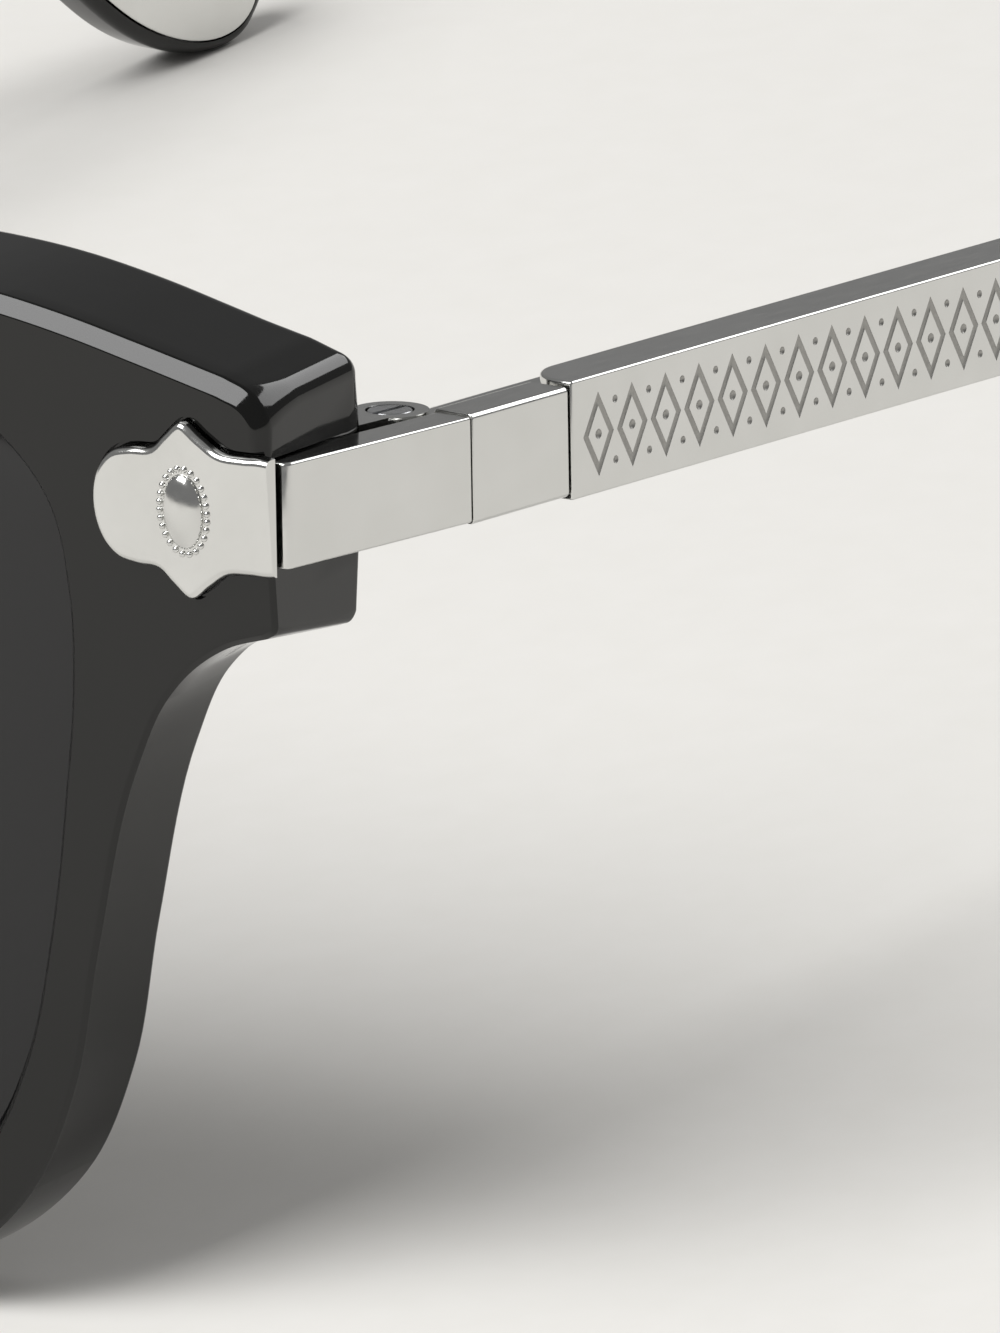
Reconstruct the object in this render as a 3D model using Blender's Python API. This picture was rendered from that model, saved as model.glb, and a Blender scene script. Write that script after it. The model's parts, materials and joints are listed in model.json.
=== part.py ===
"""Sunglasses: an acetate front on spring-hinged metal temples. For Blender 4.5.

Lengths are in metres. The glasses are drawn as they are worn: the front faces -Y, the temples run
back along +Y, +Z is up and the wearer's left side is at +X. Y and Z are zero at the outer front
edge of the side lugs, on their middle line. Each side is drawn once, as the left one, and mirrored.
At the end one empty lays the whole pair on a table, on its rims and ear tips.
"""

import math

import bmesh
import bpy
from mathutils import Matrix, Vector

# Fits
FIT = 0.0001             # gap between two pieces that are fixed together
RUN = 0.00012            # gap between two pieces that move on each other
PAST = 0.0010            # how far a cutter runs past the surface that it opens

# Acetate front
FRONT_RADIUS = 0.412     # bend of the front, seen from above
FRONT_TILT = 4.0         # degrees that the top of the front leans forward
BROW_DEPTH = 0.0088      # front to back at the end pieces, at the height of the hinges
RIM_DEPTH = 0.0058       # front to back, beside and under the lenses
STEP_TOP = -0.0045       # height where the deep brow starts to thin
STEP_BOTTOM = -0.0100    # height where it has thinned to the rim
BRIDGE_WIDTH = 0.0180    # between the two lens openings
BRIDGE_TOP = 0.0074
BRIDGE_BOTTOM = -0.0004
BROW_HEIGHT = 0.0052     # from the top of a lens opening to the top of the brow
END_LENGTH = 0.01207     # from a lens opening to the side of the end piece, along the bend
END_TOP = 0.0062         # upper corner of the end piece
END_BOTTOM = -0.0059     # lower corner of the end piece
END_DROP = 0.0013        # how much lower the end piece's lower corner is at the back
RIM_WIDTH = 0.0029
LOW_RIM_WIDTH = 0.0037
NOSE_RIM_WIDTH = 0.0036
BROW_BEVEL = 0.00085     # bright sloping edge along the top of the brow
EDGE_BEVEL = 0.00025     # every other outer edge in front
BACK_BEVEL = 0.0004
TOP_BACK_BEVEL = 0.0014  # along the top of the brow, behind
OPENING_BEVEL = 0.0004   # edge of the lens openings
CORNER_ROUND = 0.0012

# Lenses
LENS_WIDTH = 0.0514
LENS_HEIGHT = 0.0433
LENS_TOP = 0.0050        # top of the lens opening
LENS_THICKNESS = 0.0020
LENS_SET_BACK = 0.0011   # lens edge behind the front of the rim
LENS_CROWN = 0.0008      # how far the middle of a lens swells forward
GROOVE_DEPTH = 0.0009
GROOVE_FLOOR = 0.0006

# Nose pads
PAD_TOP = -0.0106
PAD_BOTTOM = -0.0262
PAD_REACH = 0.0042       # how far a pad stands off the back of the rim
PAD_WIDTH = 0.0032
PAD_SPLAY = 0.55         # sideways lean of a pad for each unit that it reaches back

# Side lugs
LUG_HEIGHT = 0.0052
LUG_THICKNESS = 0.0021
LUG_PROUD = 0.0009       # lug in front of the side of the end piece, at its front edge
LUG_FRONT = 0.0003
LUG_EDGE = 0.0003        # rounding of the long edges
LUG_PEG_RADIUS = 0.0006
LUG_PEG_LENGTH = 0.0016
LUG_PEG_BACK = 0.0023    # pegs behind the front end of the lug
LUG_PEG_SPACING = 0.0028

# Plaques
PLAQUE_LENGTH = 0.0106
PLAQUE_HEIGHT = 0.0088   # over the two points
PLAQUE_PROUD = 0.0007
PLAQUE_SUNK = 0.0002
PLAQUE_EDGE = 0.00035    # rounded front edge
PRONG_RADIUS = 0.00045
PRONG_LENGTH = 0.0022
ORNAMENT_WIDTH = 0.0030
ORNAMENT_HEIGHT = 0.0046
ORNAMENT_RISE = 0.0005

# Hinge
PIVOT_IN = 0.00425       # hinge axis, inward from the outer face of the lug
PIVOT_BACK = 0.0123
LUG_BACK = 0.01335       # back end of the side lug, the seam
EYE_RADIUS = 0.0019
HINGE_HEIGHT = 0.0052
MIDDLE_EYE = 0.0017      # height of the middle eye
NECK_WIDTH = 0.0024      # behind the two eyes of the front
EYE_NECK = 0.0016        # behind the middle eye
PLATE_LENGTH = 0.0066
PLATE_HEIGHT = 0.0056
PLATE_THICKNESS = 0.0010
PLATE_SUNK = 0.0003      # plate below the back of the end piece
PIN_RADIUS = 0.0006
PIN_HEAD_RADIUS = 0.0011
PIN_HEAD = 0.0005
SLOT_WIDTH = 0.00035
SLOT_DEPTH = 0.00025
HEAD_EDGE = 0.0001       # broken edge of a screw head
PIN_SHORT = 0.0002       # pin end inside the lowest eye
PLATE_SCREW_SPACING = 0.0028
PLATE_SCREW_LENGTH = 0.0036
SCREW_RADIUS = 0.0005
SCREW_HEAD_RADIUS = 0.0009
SCREW_HEAD = 0.00045

# Spring in the temple. Lengths along a temple count from the hinge axis.
SPRING_TRAVEL = 0.0015
HOUSING_FRONT = 0.0021
HOUSING_LENGTH = 0.0128
HOUSING_WIDTH = 0.0031   # beside the cover
HOUSING_HEIGHT = 0.0034
HOUSING_ROUND = 0.0010
HOUSING_TAPER = 0.0006   # length over which its front end narrows
HOUSING_STEP = 0.00015   # its step in front of the back of the block
FOOT_LENGTH = 0.0040
FOOT_THICKNESS = 0.0009
BORE_RADIUS = 0.0011
BORE_OFFSET = 0.0005     # bore inward of the hinge axis
ROD_RADIUS = 0.00045
BORE_SPARE = 0.0004      # bore beyond the end of the rod
BUSH_LENGTH = 0.0023
SPRING_SPARE = 0.0023    # travel that is left when the temple is at its stop
SPRING_TURNS = 6.5
WIRE_RADIUS = 0.00016
NUT_LENGTH = 0.0010

# Temples
CONVERGE = 3.5           # degrees that an open temple runs inward
SEAM_GAP = 0.0001
BLOCK_HEIGHT = 0.00545
BLOCK_BACK = 0.00835
BLOCK_THICKNESS = 0.0025
COVER_GAP = 0.00025
COVER_HEIGHT = 0.00587
COVER_THICKNESS = 0.0032
COVER_WALL = 0.0007
COVER_NOSE = 0.0030      # solid front end of the cover, with its inner corner rounded
COVER_BACK = 0.0990
COVER_EDGE = 0.00035
TONGUE_THICKNESS = 0.00095
TONGUE_HEIGHT = 0.0036
TONGUE_BACK = 0.0195
SPINE_THICKNESS = 0.0011
SPINE_HEIGHT = 0.0020
SPINE_EDGE = 0.0002
SPINE_IN_CORE = 0.012
SPINE_IN_TIP = 0.030
TIP_BEND_RADIUS = 0.0430
TIP_BEND = 36.0          # degrees that the ear tip turns down
TIP_STRAIGHT = 0.0035
TIP_END_LENGTH = 0.0095  # round end beyond the straight
TIP_END_HALF = 0.0055    # half height where the round end starts
TIP_WAIST = 0.0027       # half height at the bend
TIP_END_THICKNESS = 0.0036
TIP_ROUND = 0.00095      # rounding of the long edges, once clear of the cover
INLAY_LENGTH = 0.0200
INLAY_MARGIN = 0.0010
INLAY_THICKNESS = 0.0007
INLAY_PROUD = 0.00008

# Shape of a lens opening: across from the nose (0) outward (1), and down from the top (0).
LENS_SHAPE = (
    (0.500, 0.000), (0.740, 0.005), (0.870, 0.024), (0.935, 0.061), (0.982, 0.126), (1.000, 0.235),
    (0.997, 0.340), (0.982, 0.457), (0.954, 0.627), (0.914, 0.785), (0.866, 0.885), (0.785, 0.960),
    (0.620, 0.998), (0.430, 0.995), (0.290, 0.955), (0.180, 0.875), (0.100, 0.750), (0.050, 0.600),
    (0.015, 0.420), (0.000, 0.240), (0.020, 0.110), (0.080, 0.040), (0.220, 0.008),
)
# Top of the brow: along the lens width from the nose (0) outward, and down the brow's height.
BROW_SHAPE = ((0.260, 0.27), (0.520, 0.02), (0.760, 0.00), (0.942, 0.135), (1.023, 0.29))

# Underside of an end piece: in from its side (0) towards the lens (1), and down by its own height.
UNDER_SHAPE = ((0.033, 0.017), (0.249, 0.083), (0.398, 0.174), (0.555, 0.331), (0.713, 0.620))

# Under the bridge: out from the middle (0) to a lens opening (1), and down by the bridge's height.
NOSE_SHAPE = ((0.533, 0.667), (0.311, 0.205))

RIM_FOLLOWS = range(8, 19)    # the points of the lens shape that the outside of the rim runs beside
PAD_BESIDE = slice(16, 20)    # the points that a nose pad sits beside

# Shape of a plaque's upper half: along from its outer end (0) inward (1), and up to its point (1).
PLAQUE_SHAPE = (
    (0.000, 0.560), (0.022, 0.645), (0.060, 0.665), (0.180, 0.665), (0.300, 0.690), (0.400, 0.840),
    (0.500, 1.000), (0.590, 0.840), (0.660, 0.690), (0.780, 0.660), (0.880, 0.600), (0.950, 0.440),
    (0.990, 0.210),
)

OPENING_STEPS = 3        # mesh segments for each span of the lens shape
BROW_STEPS = 4
RIM_STEPS = 3


def clear_scene():
    for item in list(bpy.data.objects):
        bpy.data.objects.remove(item, do_unlink=True)


# Curves and rings

def through(points, steps, closed=False):
    """Points along a smooth curve that passes through all the given ones."""
    points = [Vector(point) for point in points]
    count = len(points)
    spans = count if closed else count - 1

    def at(index):
        return points[index % count] if closed else points[min(max(index, 0), count - 1)]

    def slope(index):
        before, here, after = at(index - 1), at(index), at(index + 1)
        first = max((here - before).length, 1e-9)
        second = max((after - here).length, 1e-9)
        if not closed and index in (0, count - 1):
            return (after - before) / (after - before).length
        return ((here - before) / first * second + (after - here) / second * first) / (first + second)

    curve = []
    for span in range(spans):
        start, end = at(span), at(span + 1)
        length = (end - start).length
        leave, arrive = slope(span) * length, slope((span + 1) % count if closed else span + 1) * length
        for step in range(steps):
            t = step / steps
            curve.append(
                start * (2 * t**3 - 3 * t**2 + 1) + leave * (t**3 - 2 * t**2 + t)
                + end * (3 * t**2 - 2 * t**3) + arrive * (t**3 - t**2)
            )
    if not closed:
        curve.append(points[-1])
    return curve


def fillet(before, corner, after, radius, steps):
    """Points of an arc that rounds a corner of an outline."""
    before, corner, after = Vector(before), Vector(corner), Vector(after)
    one, two = (before - corner).normalized(), (after - corner).normalized()
    half = one.angle(two) / 2
    centre = corner + (one + two).normalized() * radius / math.sin(half)
    start = corner + one * radius / math.tan(half) - centre
    end = corner + two * radius / math.tan(half) - centre
    sweep = math.pi - 2 * half
    turn = sweep if start.x * end.y - start.y * end.x > 0 else -sweep
    return [
        centre + Matrix.Rotation(turn * step / steps, 2) @ start
        for step in range(steps + 1)
    ]


def normals(ring):
    """Unit normals of a closed flat ring, to the right of its direction."""
    found = []
    for index, point in enumerate(ring):
        along = (ring[(index + 1) % len(ring)] - ring[index - 1]).normalized()
        found.append(Vector((along.y, -along.x)))
    return found


def offset(ring, widths):
    """The ring moved to its right by a width, or by one width for each point."""
    if not hasattr(widths, "__len__"):
        widths = [widths] * len(ring)
    return [point + normal * width for point, normal, width in zip(ring, normals(ring), widths)]


def circle(radius, segments):
    turn = 2 * math.pi / segments
    return [(radius * math.cos(turn * step), radius * math.sin(turn * step)) for step in range(segments)]


def rounded_rectangle(half_width, half_height, radius, steps=2):
    corners = ((half_width, half_height), (-half_width, half_height),
               (-half_width, -half_height), (half_width, -half_height))
    ring = []
    for index, corner in enumerate(corners):
        ring += fillet(corners[index - 1], corner, corners[(index + 1) % 4], radius, steps)
    return ring


# Solids

def skin(mesh, rings, closed=False):
    """Joins rings with the same number of points by faces; closed joins the last to the first."""
    loops = [[mesh.verts.new(point) for point in ring] for ring in rings]
    for lower, upper in zip(loops, loops[1:] + loops[:1] if closed else loops[1:]):
        for index in range(len(lower)):
            after = (index + 1) % len(lower)
            mesh.faces.new((lower[index], lower[after], upper[after], upper[index]))
    return loops


def ring_edges(mesh, loop):
    return [mesh.edges.get((start, end)) for start, end in zip(loop, loop[1:] + loop[:1])]


def loft(rings, capped=True):
    """A closed solid through rings with the same number of points; uncapped, it closes on itself."""
    mesh = bmesh.new()
    loops = skin(mesh, rings, closed=not capped)
    if capped:
        mesh.faces.new(list(reversed(loops[0])))
        mesh.faces.new(loops[-1])
    bmesh.ops.remove_doubles(mesh, verts=mesh.verts, dist=1e-7)
    bmesh.ops.recalc_face_normals(mesh, faces=mesh.faces)
    return mesh


def prism(outline, low, high, axis="Z"):
    """An outline pushed along an axis; it is given as (X, Y) for Z, (Y, Z) for X and (X, Z) for Y."""
    place = {
        "Z": lambda a, b, height: Vector((a, b, height)),
        "X": lambda a, b, height: Vector((height, a, b)),
        "Y": lambda a, b, height: Vector((a, height, b)),
    }[axis]
    return loft([[place(a, b, height) for a, b in outline] for height in (low, high)])


def box(low, high):
    """A block between two corners."""
    outline = ((low[0], low[1]), (high[0], low[1]), (high[0], high[1]), (low[0], high[1]))
    return prism(outline, low[2], high[2])


def soften(mesh, width, along, segments=2):
    """Rounds the edges of a block that run along one axis."""
    edges = [
        edge for edge in mesh.edges
        if abs((edge.verts[1].co - edge.verts[0].co).normalized()["XYZ".index(along)]) > 0.99
    ]
    bmesh.ops.bevel(mesh, geom=edges, offset=width, segments=segments, profile=0.5, affect="EDGES")
    return mesh


def turned(profile, centre, axis="Z", segments=16, hollow=False):
    """A round solid from (radius, height) points; a hollow one's profile closes on itself."""
    place = {
        "Z": lambda a, b, height: Vector((a, b, height)),
        "X": lambda a, b, height: Vector((height, a, b)),
        "Y": lambda a, b, height: Vector((a, height, b)),
    }[axis]
    rings = [
        [Vector(centre) + place(a, b, height) for a, b in circle(radius, segments)]
        for radius, height in profile
    ]
    return loft(rings, capped=not hollow)


# Objects

def finish(name, colour, roughness, metallic):
    material = bpy.data.materials.new(name)
    material.use_nodes = True
    shader = material.node_tree.nodes["Principled BSDF"]
    shader.inputs["Base Color"].default_value = (*colour, 1.0)
    shader.inputs["Roughness"].default_value = roughness
    shader.inputs["Metallic"].default_value = metallic
    return material


def empty(name, parent, location=(0, 0, 0), turn=0.0):
    item = bpy.data.objects.new(name, None)
    bpy.context.scene.collection.objects.link(item)
    item.parent = parent
    item.location = location
    item.rotation_euler = (0, 0, turn)
    return item


def add(name, mesh, side, parent, material=None, smooth=30):
    """Makes an object of a left-hand solid, mirrored when side is -1; no material means a cutter."""
    if side < 0:
        bmesh.ops.scale(mesh, vec=(-1, 1, 1), verts=mesh.verts)
        bmesh.ops.reverse_faces(mesh, faces=mesh.faces)
    data = bpy.data.meshes.new(name)
    mesh.to_mesh(data)
    mesh.free()
    item = bpy.data.objects.new(name, data)
    bpy.context.scene.collection.objects.link(item)
    item.parent = parent
    if material:
        data.materials.append(material)
        data.shade_smooth()
        data.set_sharp_from_angle(angle=math.radians(smooth))
    else:
        item.hide_render = True
        item.display_type = "WIRE"
    return item


def combine(item, tool_mesh, side, operation="DIFFERENCE"):
    """Cuts a hidden tool out of a piece, or joins it on."""
    number = len(item.modifiers) + 1
    tool = add(f"{item.name}_tool_{number}", tool_mesh, side, item.parent)
    modifier = item.modifiers.new(tool.name, "BOOLEAN")
    modifier.operation = operation
    modifier.solver = "EXACT"
    modifier.object = tool


# The bent front

LENS_INNER = BRIDGE_WIDTH / 2
SIDE = LENS_INNER + LENS_WIDTH + END_LENGTH
END_HEIGHT = END_TOP - END_BOTTOM
HALF_WIDTH = FRONT_RADIUS * math.sin(SIDE / FRONT_RADIUS) + LUG_PROUD
FRONT_SAG = FRONT_RADIUS - math.sqrt(FRONT_RADIUS**2 - HALF_WIDTH**2)
LUG_EDGE_ALONG = FRONT_RADIUS * math.asin(HALF_WIDTH / FRONT_RADIUS)


def on_front(along, up, depth):
    """A point of the front: along its bend, up its height and back from its front face."""
    turn = along / FRONT_RADIUS
    tilt = math.radians(FRONT_TILT)
    x = (FRONT_RADIUS - depth) * math.sin(turn)
    y = FRONT_RADIUS - (FRONT_RADIUS - depth) * math.cos(turn) - FRONT_SAG
    return Vector((x, y * math.cos(tilt) - up * math.sin(tilt), y * math.sin(tilt) + up * math.cos(tilt)))


def bend(mesh):
    """Moves a flat solid, drawn as (along, depth, up), onto the bent front."""
    for vertex in mesh.verts:
        along, depth, up = vertex.co
        vertex.co = on_front(along, up, depth)
    bmesh.ops.recalc_face_normals(mesh, faces=mesh.faces)
    return mesh


def front_depth(up):
    """Front-to-back depth of the front at a height; the back of the brow stands upright."""
    t = min(max((up - STEP_BOTTOM) / (STEP_TOP - STEP_BOTTOM), 0.0), 1.0)
    upright = BROW_DEPTH + up * math.tan(math.radians(FRONT_TILT))
    return RIM_DEPTH + (upright - RIM_DEPTH) * t * t * (3 - 2 * t)


def near_end(point):
    """1 at the lower corner of an end piece, falling to 0 away from it."""
    away = math.hypot(abs(point.x) - SIDE, point.y - END_BOTTOM)
    return max(0.0, 1 - away / END_HEIGHT * 2)


def lens_points():
    return [
        Vector((LENS_INNER + across * LENS_WIDTH, LENS_TOP - down * LENS_HEIGHT))
        for across, down in LENS_SHAPE
    ]


def lens_opening(sign=1):
    """Edge of a lens opening, seen from the front; it runs clockwise on the left side."""
    ring = through(lens_points(), OPENING_STEPS, closed=True)
    return [Vector((sign * point.x, point.y)) for point in ring]


def rim_width(share):
    """Width of a rim, from its outer side (0) under the lens to its nose side (1)."""
    lowest = 0.36
    if share < lowest:
        return RIM_WIDTH + (LOW_RIM_WIDTH - RIM_WIDTH) * share / lowest
    return LOW_RIM_WIDTH + (NOSE_RIM_WIDTH - LOW_RIM_WIDTH) * (share - lowest) / (1 - lowest)


def front_outline():
    """Outer edge of the front, clockwise from the top of the bridge, seen from the front."""
    opening = lens_points()
    brow_top = LENS_TOP + BROW_HEIGHT
    slope_start = Vector((SIDE - 0.2 * END_LENGTH, END_TOP + 0.025 * END_HEIGHT))
    corner = Vector((SIDE, END_TOP - 0.05 * END_HEIGHT))
    low_corner = Vector((SIDE, END_BOTTOM))
    over_nose = BRIDGE_TOP + 0.04 * BROW_HEIGHT
    brow = [(-LENS_INNER, over_nose), (0, BRIDGE_TOP), (LENS_INNER, over_nose)]
    brow += [
        (LENS_INNER + across * LENS_WIDTH, brow_top - down * BROW_HEIGHT)
        for across, down in BROW_SHAPE
    ]
    brow += [(SIDE - 0.6 * END_LENGTH, (brow_top + END_TOP) / 2 - 0.08 * BROW_HEIGHT), slope_start]
    brow = through(brow, BROW_STEPS)[BROW_STEPS:]
    rim = [opening[index] for index in RIM_FOLLOWS]
    outward = normals(opening)
    rim_widths = [rim_width(step / (len(rim) - 1)) for step in range(len(rim))]
    rim = [
        point - outward[index] * width
        for point, index, width in zip(rim, RIM_FOLLOWS, rim_widths)
    ]
    under = [(SIDE - across * END_LENGTH, END_BOTTOM - down * END_HEIGHT) for across, down in UNDER_SHAPE]
    bridge_height = BRIDGE_TOP - BRIDGE_BOTTOM
    nose = [(across * LENS_INNER, BRIDGE_BOTTOM - down * bridge_height) for across, down in NOSE_SHAPE]
    nose += [(0, BRIDGE_BOTTOM), (-nose[-1][0], nose[-1][1])]
    lower = through(under + rim + nose, RIM_STEPS)[:-RIM_STEPS]
    half = brow[:-1]
    half += fillet(slope_start, corner, low_corner, CORNER_ROUND, 4)
    half += [Vector((SIDE, (END_TOP + END_BOTTOM) / 2))]
    half += fillet(corner, low_corner, under[1], CORNER_ROUND / 2, 3)
    half += lower[1:]
    mirrored = [Vector((-point.x, point.y)) for point in reversed(half[1:-1])]
    return half + mirrored


def front_solid():
    """The acetate front before its pockets are cut."""
    outline = front_outline()
    facing_up = [max(0.0, -normal.y) ** 2 for normal in normals(outline)]
    bevels = [EDGE_BEVEL + (BROW_BEVEL - EDGE_BEVEL) * share for share in facing_up]
    back_bevels = [BACK_BEVEL + (TOP_BACK_BEVEL - BACK_BEVEL) * share for share in facing_up]
    inner = offset(outline, bevels)
    back = [Vector((point.x, point.y - END_DROP * near_end(point))) for point in outline]
    back_inner = offset(back, back_bevels)
    depths = [front_depth(point.y) for point in outline]
    shell = [
        [Vector((point.x, 0, point.y)) for point in inner],
        [Vector((point.x, bevel * 0.8, point.y)) for point, bevel in zip(outline, bevels)],
        [Vector((point.x, depth - bevel, point.y)) for point, depth, bevel in zip(back, depths, back_bevels)],
        [Vector((point.x, depth, point.y)) for point, depth in zip(back_inner, depths)],
    ]
    groups = [shell]
    groove_middle = LENS_SET_BACK + LENS_THICKNESS / 2
    mouth = LENS_THICKNESS / 2 + FIT * 2
    for sign in (1, -1):
        edge = lens_opening(sign)
        wide = offset(edge, -OPENING_BEVEL * sign)
        deep = offset(edge, -GROOVE_DEPTH * sign)
        rings = [
            [Vector((point.x, 0, point.y)) for point in wide],
            [Vector((point.x, OPENING_BEVEL, point.y)) for point in edge],
            [Vector((point.x, groove_middle - mouth, point.y)) for point in edge],
            [Vector((point.x, groove_middle - GROOVE_FLOOR / 2, point.y)) for point in deep],
            [Vector((point.x, groove_middle + GROOVE_FLOOR / 2, point.y)) for point in deep],
            [Vector((point.x, groove_middle + mouth, point.y)) for point in edge],
            [Vector((point.x, front_depth(point.y) - OPENING_BEVEL, point.y)) for point in edge],
            [Vector((point.x, front_depth(point.y), point.y)) for point in wide],
        ]
        groups.append(rings)
    mesh = bmesh.new()
    fronts, backs = [], []
    for rings in groups:
        loops = skin(mesh, rings)
        fronts += ring_edges(mesh, loops[0])
        backs += ring_edges(mesh, loops[-1])
    bmesh.ops.triangle_fill(mesh, edges=fronts, use_beauty=True, normal=(0, -1, 0))
    bmesh.ops.triangle_fill(mesh, edges=backs, use_beauty=True, normal=(0, 1, 0))
    return bend(mesh)


def lens_solid():
    """A dark lens whose edge sits in the groove of its rim."""
    opening = lens_opening()
    centre = Vector((LENS_INNER + LENS_WIDTH / 2, LENS_TOP - LENS_HEIGHT / 2))
    edge = offset(opening, FIT)
    tongue = offset(opening, 2 * FIT - GROOVE_DEPTH)
    middle = LENS_SET_BACK + LENS_THICKNESS / 2

    def ring(share, face):
        crown = LENS_CROWN * (1 - share**2)
        return [
            Vector((*(centre + (point - centre) * share), middle + face * LENS_THICKNESS / 2 - crown)).xzy
            for point in edge
        ]

    shares = (0.06, 0.3, 0.55, 0.8, 1.0)
    rings = [ring(share, -1) for share in shares]
    rings.append([Vector((point.x, middle - GROOVE_FLOOR / 2 + FIT, point.y)) for point in tongue])
    rings.append([Vector((point.x, middle + GROOVE_FLOOR / 2 - FIT, point.y)) for point in tongue])
    rings += [ring(share, 1) for share in reversed(shares)]
    return bend(loft(rings))


def nose_pad_solid():
    """A rounded fin on the back of the rim, beside the nose."""
    base = RIM_DEPTH + FIT
    rows, segments = 9, 12
    rings = []
    opening = lens_points()
    edge = sorted(opening[PAD_BESIDE], key=lambda point: point.y)
    for row in range(rows):
        t = row / (rows - 1)
        up = PAD_TOP + (PAD_BOTTOM - PAD_TOP) * (0.5 - 0.5 * math.cos(math.pi * t))
        swell = math.sqrt(max(1 - (2 * (up - PAD_BOTTOM) / (PAD_TOP - PAD_BOTTOM) - 1) ** 2, 0.04))
        below = max([point for point in edge if point.y <= up] or [edge[0]], key=lambda point: point.y)
        above = min([point for point in edge if point.y > up] or [edge[-1]], key=lambda point: point.y)
        mix = (up - below.y) / max(above.y - below.y, 1e-9)
        across = below.x + (above.x - below.x) * mix - NOSE_RIM_WIDTH / 2
        ring = []
        for step in range(segments):
            angle = math.pi * step / (segments - 1)
            reach = PAD_REACH * swell * math.sin(angle)
            width = PAD_WIDTH / 2 * (0.45 + 0.55 * swell) * math.cos(angle)
            ring.append(Vector((across + width + PAD_SPLAY * reach, base + reach, up)))
        rings.append(ring)
    return bend(loft(rings))


# Plaques and side lugs

def plaque_ring(margin=0.0):
    """Outline of a plaque as (along, up), drawn in by a margin."""
    half_height = PLAQUE_HEIGHT / 2
    upper = [
        (LUG_EDGE_ALONG - along * PLAQUE_LENGTH, up * half_height) for along, up in PLAQUE_SHAPE
    ]
    tip = (LUG_EDGE_ALONG - PLAQUE_LENGTH, 0)
    lower = [(along, -up) for along, up in reversed(upper)]
    curve = through(upper + [tip] + lower, 2)
    return offset(curve, margin)


def plaque_solid():
    back = plaque_ring()
    face = plaque_ring(-PLAQUE_EDGE)
    shoulder = plaque_ring(-PLAQUE_EDGE * 0.3)
    centre = (LUG_EDGE_ALONG - PLAQUE_LENGTH / 2, 0)
    front = -PLAQUE_PROUD
    rings = [
        [Vector((point.x, PLAQUE_SUNK, point.y)) for point in back],
        [Vector((point.x, front + PLAQUE_EDGE, point.y)) for point in back],
        [Vector((point.x, front + PLAQUE_EDGE * 0.3, point.y)) for point in shoulder],
        [Vector((point.x, front, point.y)) for point in face],
    ]
    dome = []
    for share in (1.0, 0.92, 0.7, 0.4, 0.1):
        rise = ORNAMENT_RISE * math.sqrt(1 - share**2) if share < 1 else 0
        dome.append([
            Vector((centre[0] + a * share * ORNAMENT_WIDTH, front - rise, b * share * ORNAMENT_HEIGHT))
            for a, b in circle(0.5, 20)
        ])
    mesh = bmesh.new()
    body, boss = skin(mesh, rings), skin(mesh, dome)
    mesh.faces.new(body[0])
    mesh.faces.new(boss[-1])
    edges = ring_edges(mesh, body[-1]) + ring_edges(mesh, boss[0])
    bmesh.ops.triangle_fill(mesh, edges=edges, use_beauty=True, normal=(0, -1, 0))
    return bend(mesh)


def front_pin(along, up, radius, start, end):
    """A round pin square to the front face, between two depths."""
    rings = [
        [on_front(along, up, depth) + turn_on_front(along) @ Vector((a, 0, b)) for a, b in circle(radius, 10)]
        for depth in (start, end)
    ]
    return loft(rings)


def turn_on_front(along):
    tilt = Matrix.Rotation(math.radians(FRONT_TILT), 3, "X")
    return tilt @ Matrix.Rotation(along / FRONT_RADIUS, 3, "Z")


def prong_places():
    return [LUG_EDGE_ALONG - PLAQUE_LENGTH * share for share in (0.28, 0.76)]


def lug_peg_places():
    inner = HALF_WIDTH - LUG_THICKNESS
    return [(inner, LUG_FRONT + LUG_PEG_BACK, up) for up in (LUG_PEG_SPACING / 2, -LUG_PEG_SPACING / 2)]


def lug_box(grow, front, back):
    """Block of a side lug, grown on its inner face, top and bottom."""
    half = LUG_HEIGHT / 2 + grow
    return box((HALF_WIDTH - LUG_THICKNESS - grow, front, -half), (HALF_WIDTH, back, half))


# Hinge

def eye_outline(radius, half_neck, reach, shift=0.0):
    """Plan of a hinge eye round the origin, with a neck that runs to Y = reach."""
    sign = 1 if reach > 0 else -1
    first = math.acos((shift + half_neck) / radius)
    last = math.acos((shift - half_neck) / radius)
    span = 2 * math.pi - (last - first)
    points = [(shift + half_neck, reach)]
    for step in range(19):
        angle = first - span * step / 18
        points.append((radius * math.cos(angle), sign * radius * math.sin(angle)))
    points.append((shift - half_neck, reach))
    return points


def screw_profile(length, grow):
    """A countersunk screw as (radius, depth) points; its hole is larger by grow and open in front."""
    mouth = [(SCREW_HEAD_RADIUS + grow, -PAST)] if grow else []
    return mouth + [
        (SCREW_HEAD_RADIUS + grow, 0),
        (SCREW_RADIUS + grow, SCREW_HEAD + grow),
        (SCREW_RADIUS + grow, length + grow),
    ]


def countersunk(length, centre, grow=0.0):
    """A countersunk screw along X, or the hole for it, whose head is at the centre."""
    return turned(screw_profile(length, grow), centre, "X", segments=12)


PLATE_DEPTH = BROW_DEPTH - PLATE_SUNK
PLATE_OUTER = FRONT_RADIUS * math.asin(
    (HALF_WIDTH - PIVOT_IN + NECK_WIDTH / 2 + FIT) / (FRONT_RADIUS - PLATE_DEPTH)
)
PLATE_INNER = PLATE_OUTER - PLATE_LENGTH
PLATE_UP = -math.tan(math.radians(FRONT_TILT)) * (
    FRONT_RADIUS - (FRONT_RADIUS - PLATE_DEPTH) * math.cos(PLATE_OUTER / FRONT_RADIUS) - FRONT_SAG
)


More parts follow.
